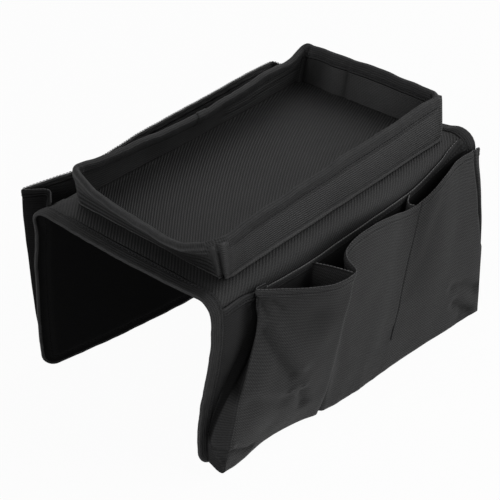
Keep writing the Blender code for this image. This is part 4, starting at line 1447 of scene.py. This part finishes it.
def pocket(side, rows, gussets, breaks, fine_rows, v, relief, shade):
    """One flap's pocket: gussets and front panel as one strip of cloth, and its base."""
    name = side_names[side]
    length = v[-1]
    front_gusset, rear_gusset = gussets
    points, u, marks = strip_grid(np.stack(front_gusset + rows + rear_gusset), breaks, fine_rows)
    normals = -side * grid_normals(points)
    u_grid, v_grid = np.meshgrid(u, v)
    points = points + normals * relief(u_grid, v_grid, marks, length)[..., None]
    normals = -side * grid_normals(points)
    thickness = pocket_thickness + hem_rise * (v_grid < hem_width)
    uv = np.array(paired(u, v[:, None]))
    # Painted shade and light of the strip
    dark = shade(u_grid, v_grid, marks)
    front, rear = [int(np.argmin(np.abs(u - marks[row]))) for row in (fine_rows[0], fine_rows[-1])]
    parts = (
        ("front_gusset", "gusset_front", 0, front, gusset_cloth),
        ("panel", "front", front, rear, pocket_cloth),
        ("rear_gusset", "gusset_rear", rear, len(u) - 1, gusset_cloth),
    )
    for part, node, first, last, material in parts:
        kept = (slice(None), slice(first, last + 1))
        piece = cloth(
            f"{name}_pocket_{part}", points[kept], thickness[kept], uv[kept], material, normals[kept],
            flip=side > 0, shade=dark[kept],
        )
        place_piece(piece, side, False, [f"{name}_pocket_{node}"])
    pocket_base(side, points[-1], normals[-1], u)
    # A row of light beads along the hem's top fold: a painted highlight
    line = points[0] + np.array((0.0, 0.0, roll_stand))
    roll = stitches(f"{name}_pocket_hem_roll", [(line, normals[0])], hem_highlight_cloth, roll_pitch, roll_length)
    place_piece(roll, side)
    sewn = slice(front, rear + 1)
    return points, normals, marks, u, [(points[hem_seam_row][sewn], normals[hem_seam_row][sewn])]


def pocket_base(side, panel_foot, panel_normals, u):
    """The cloth under a pocket, from the flap to the strip's foot."""
    name = side_names[side]
    foot = panel_foot - panel_normals * base_inset + np.array((0.0, 0.0, base_rise))
    reach = half_length - tape_width
    along = np.clip(foot[:, 1], -reach, reach)
    inner = shell(side, total_across - base_flap_gap, along, seat_out)[0]
    base = mix(inner, foot, base_shares[:, None, None])
    spot = paired(u, base_shares[:, None] * base_width)
    drop = base_drop + swells(spot, base_swells, side)
    base[..., 2] -= drop * np.sin(base_shares * math.pi)[:, None]
    piece = cloth(f"{name}_pocket_base_cloth", base, gusset_thickness, spot, wall_cloth, flip=side < 0)
    place_piece(piece, side, False, [f"{name}_pocket_base"])


def divider(name, number, foot_share, slack, top_slack, top_rise, top_shift):
    """A wall of cloth between two compartments, from the backing to the front panel."""
    shares = np.linspace(divider_start_share, foot_share, divider_rows)
    outer = panel_row(number, shares) - divider_inset
    along = outer[:, 1] + top_shift * (1 - ease(shares / divider_shift_share))
    inner = seam_on_flap(1, along, outer[:, 2], divider_seat_out)
    inner[:, 2] += top_rise * (1 - ease(shares / divider_rise_share))
    points = mix(inner[:, None], outer[:, None], divider_columns[None, :, None])
    sway = mix(top_slack, slack, ease(shares / divider_slack_share)) * ease(divider_sway_end - shares)
    place = paired(divider_columns * divider_width, shares[:, None] * flap_drop)
    sway = sway[:, None] + swells(place, divider_swells, number)
    points[..., 1] += sway * np.sin(divider_columns * math.pi)
    # Painted light along the hem at the divider's mouth
    hem = np.broadcast_to(divider_hem_painted_light * (1 - ramp(shares, *divider_hem))[:, None], points.shape[:2])
    piece = cloth(f"pocket_divider_{name}", points, gusset_thickness, place, pocket_cloth, shade=hem)
    nodes = [f"right_pocket_divider_{name}"]
    place_piece(piece, 1, False, nodes)
    up = np.broadcast_to(np.array((0.0, 0.0, 1.0)), points[0].shape)
    # A row of light beads along the divider's hem: a painted highlight
    roll = stitches(f"pocket_divider_{name}_hem_roll", [(points[0], up)], roll_highlight_cloth, roll_pitch, roll_length)
    place_piece(roll, 1)


def across_at(z):
    """The distance across the saddle's cloth at which it has come down to a height."""
    turn = np.arccos(np.clip(1 - (stack_height - z) / fold_radius, 0.0, 1.0))
    bend_foot = stack_height - fold_radius
    return np.where(z > bend_foot, flat_end + fold_radius * turn, flap_start + bend_foot - z)


def backing():
    """The cloth behind the right pockets, with its hemmed edge."""
    reach = half_length - tape_width / 2
    along = np.linspace(-reach, reach, backing_columns)
    top = read_curve(backing_hem, along)
    foot = stack_height - flap_drop + backing_foot_gap
    v = pocket_rows(backing_length)[:, None]
    z = top - v / backing_length * (top - foot)
    place = paired(along, v)
    end, fade = backing_end
    settled = ease((end - np.abs(along)) / fade)
    rough = backing_roughness * swells(place, backing_swells) ** 2
    out = backing_lift + settled * (backing_out + hem_relief(v) + rough)
    # Painted shadow beside the front gusset, painted light in the front compartment and at the top, and a
    # painted highlight along the hem's edge
    recess = ease((along - read_curve(recess_edge, z)) / recess_width + 0.5)
    lit = ramp(along, *lit_front) * (1 - lit_rear_loss * ramp(along, *lit_rear))
    dark = backing_recess_tone * recess * ramp(v, *recess_mouth) + lit_painted_light * lit * (1 - ramp(v, *lit_foot))
    dark = dark + upper_painted_light * ramp(z, *upper_rise) * (1 - recess) + hem_edge_painted_highlight * (1 - ramp(v, *rim_band))
    points, normals = shell(1, across_at(z), np.broadcast_to(along, z.shape), out)
    name = "right_pocket_backing"
    piece = cloth(
        f"{name}_cloth", points, cover_thickness, place, gusset_cloth, normals, flip=True, shade=dark
    )
    place_piece(piece, 1, True, [name])
    rows = [(points[hem_seam_row], normals[hem_seam_row])]
    place_piece(stitches("backing_stitches", rows, thread), 1, True)
    # A row of light beads along the backing's hem: a painted highlight
    inner = (along > roll_start) & (along < half_length - tape_width)
    rows = [(points[0][inner] + normals[0][inner] * roll_stand, normals[0][inner])]
    place_piece(stitches("backing_hem_roll", rows, roll_highlight_cloth, roll_pitch, roll_length), 1, True)


saddle_half(1)
saddle_half(-1)
edge_tape(1)
edge_tape(-1)
tray_walls()
tray_rim()
tray_floor()
backing()

right_v = pocket_rows(right_pocket_length)
right_down = right_v / right_v[-1]
right_rows = [panel_row(number, right_down) for number in range(len(right_pocket_shares))]
front_part = gusset_lines(
    1, right_rows[0], right_front_gusset, ease(right_down), right_tuck, right_fold_out, right_front_drop
)
rear_part = gusset_lines(
    1, right_rows[-1], right_rear_gusset, ease(right_v / rear_gusset_length), seam_drop=right_rear_drop
)[::-1]
count = len(front_part)
last = count + len(right_rows) - 1
right_breaks = (0, 2, count, count + divider_row, last, last + 2, last + 4)
right_fine = (count, count + divider_row, count + stitch_row, last)
points, normals, marks, u, hems = pocket(
    1, right_rows, (front_part, rear_part), right_breaks, right_fine, right_v, right_relief, right_shade
)
kept = np.flatnonzero(right_v < stitch_end_share * right_v[-1])
seam_u = marks[count + stitch_row] + read_curve(seam_bend, right_v)


def seam_line(offset):
    """A line down the straight seam, or beside it: points and normals."""
    lines = []
    for table in (points, normals):
        rows = [[np.interp(seam_u[i] + offset, u, table[i, :, k]) for k in range(3)] for i in kept]
        lines.append(np.array(rows))
    return lines


hems.append(seam_line(0.0))
place_piece(stitches("right_pocket_stitches", hems, thread), 1)
left_line, facing = seam_line(-tack_width / 2)
right_line, _ = seam_line(tack_width / 2)
tacks = []
for share in np.linspace(tack_start_share, 1.0, tack_count):
    at = share * (len(kept) - 1)
    low = min(int(at), len(kept) - 2)
    ends = [mix(line[low], line[low + 1], at - low) for line in (left_line, right_line)]
    tacks.append((np.stack(ends), np.stack([facing[low]] * 2)))
bar_tack = stitches("right_pocket_bar_tack", tacks, thread, tack_pitch, tack_width - tack_pitch)
place_piece(bar_tack, 1)
for name, values in dividers.items():
    divider(name, *values)

left_v = pocket_rows(left_pocket_length)
left_down = left_v / left_v[-1]
left_places = np.linspace(left_pocket_shares[0][0], left_pocket_shares[-1][0], left_columns)
left_rows = [left_panel_row(share, left_down) for share in left_places]
left_front = gusset_lines(-1, left_rows[0], left_front_gusset, left_down)
left_rear = gusset_lines(-1, left_rows[-1], left_rear_gusset, left_down)[::-1]
count = len(left_front)
last = count + len(left_rows) - 1
left_breaks = (0, count, last, last + 2, last + 4)
points, normals, marks, u, hems = pocket(
    -1, left_rows, (left_front, left_rear), left_breaks, (count, last), left_v, left_relief, left_shade
)
place_piece(stitches("left_pocket_stitches", hems, thread), -1)

for node_name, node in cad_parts.items():
    if node_name.endswith("board"):
        for slot in node.material_slots:
            slot.material = board_surface

# Camera
camera_turn = math.radians(42.20786)
camera_height = math.radians(34.41838)
camera_roll = math.radians(-0.74527)
camera_place = (0.59437, -0.66933, 0.53870)
camera_lens = 92.002
camera_sensor = 36.0
camera_near = 0.01
back = np.array((
    math.sin(camera_turn) * math.cos(camera_height),
    -math.cos(camera_turn) * math.cos(camera_height),
    math.sin(camera_height),
))
level = unit(np.cross((0.0, 0.0, 1.0), back))
upright = np.cross(back, level)
right = math.cos(camera_roll) * level + math.sin(camera_roll) * upright
upright = math.cos(camera_roll) * upright - math.sin(camera_roll) * level
camera_data = bpy.data.cameras.new("camera")
camera_data.lens = camera_lens
camera_data.sensor_width = camera_sensor
camera_data.clip_start = camera_near
camera = add_object("camera", camera_data)
matrix = Matrix.Identity(4)
for number, column in enumerate((right, upright, back, camera_place)):
    matrix.col[number][:3] = [float(value) for value in column]
camera.matrix_world = matrix
bpy.context.scene.camera = camera

# Floor, world and lights
floor_height = min(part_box("right_flap_binding")[0].z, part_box("left_flap_binding")[0].z)
floor_half = 4.0
floor_gap = 0.0015
floor_tone = 0.80
floor_roughness = 0.9
floor_white_share = 0.96
world_light = 0.08
world_white_share = 1.0


def whiten(tree, light, make_white, white_share, surface):
    """Show the light on a surface, but white where the camera, a reflection or glass looks at it."""
    white = tree.nodes.new(make_white)
    white.inputs["Color"].default_value = (1.0, 1.0, 1.0, 1.0)
    white.inputs["Strength"].default_value = 1.0
    rays = tree.nodes.new("ShaderNodeLightPath")
    seen = math_node(tree, "MAXIMUM", rays.outputs["Is Camera Ray"], rays.outputs["Is Glossy Ray"])
    seen = math_node(tree, "MAXIMUM", seen, rays.outputs["Is Transmission Ray"])
    blend = tree.nodes.new("ShaderNodeMixShader")
    tree.links.new(math_node(tree, "MULTIPLY", seen, white_share), blend.inputs[0])
    tree.links.new(light.outputs[0], blend.inputs[1])
    tree.links.new(white.outputs[0], blend.inputs[2])
    tree.links.new(blend.outputs[0], surface.inputs["Surface"])


floor_mesh = bpy.data.meshes.new("floor")
floor_signs = ((-1, -1), (1, -1), (1, 1), (-1, 1))
corners = [(x * floor_half, y * floor_half, floor_height - floor_gap) for x, y in floor_signs]
floor_mesh.from_pydata(corners, [], [(0, 1, 2, 3)])
floor = add_object("floor", floor_mesh)
floor_material, tree, shader = new_material("floor_white")
shader.inputs["Base Color"].default_value = (floor_tone, floor_tone, floor_tone, 1.0)
shader.inputs["Roughness"].default_value = floor_roughness
shader.inputs["Specular IOR Level"].default_value = 0.0
whiten(tree, shader, "ShaderNodeEmission", floor_white_share, tree.nodes["Material Output"])
floor_mesh.materials.append(floor_material)

world = bpy.data.worlds.new("studio")
world.use_nodes = True
bpy.context.scene.world = world
tree = world.node_tree
plain = tree.nodes["Background"]
plain.inputs["Color"].default_value = (1.0, 1.0, 1.0, 1.0)
plain.inputs["Strength"].default_value = world_light
whiten(tree, plain, "ShaderNodeBackground", world_white_share, tree.nodes["World Output"])

light_target = Vector((0.0, 0.0, -0.05))
softbox_side = 1.1
# Each softbox: its place and its power
softboxes = {
    "key_low": ((1.670, 0.970, 0.518), 9.5),
    "key_high": ((1.174, 0.985, 1.286), 13.0),
    "rear": ((0.301, 1.706, 1.000), 5.6),
    "rear_top": ((-0.707, 1.225, 1.414), 4.6),
    "front": ((0.0, -1.879, 0.684), 14.0),
    "front_right": ((1.350, -1.350, 0.450), 6.0),
}
for name, (place, power) in softboxes.items():
    data = bpy.data.lights.new(name, "AREA")
    data.shape = "RECTANGLE"
    data.size = softbox_side
    data.size_y = softbox_side
    data.energy = power
    lamp = add_object(name, data)
    lamp.location = place
    lamp.rotation_euler = (light_target - Vector(place)).to_track_quat("-Z", "Y").to_euler()

bpy.context.scene.view_settings.view_transform = "Standard"
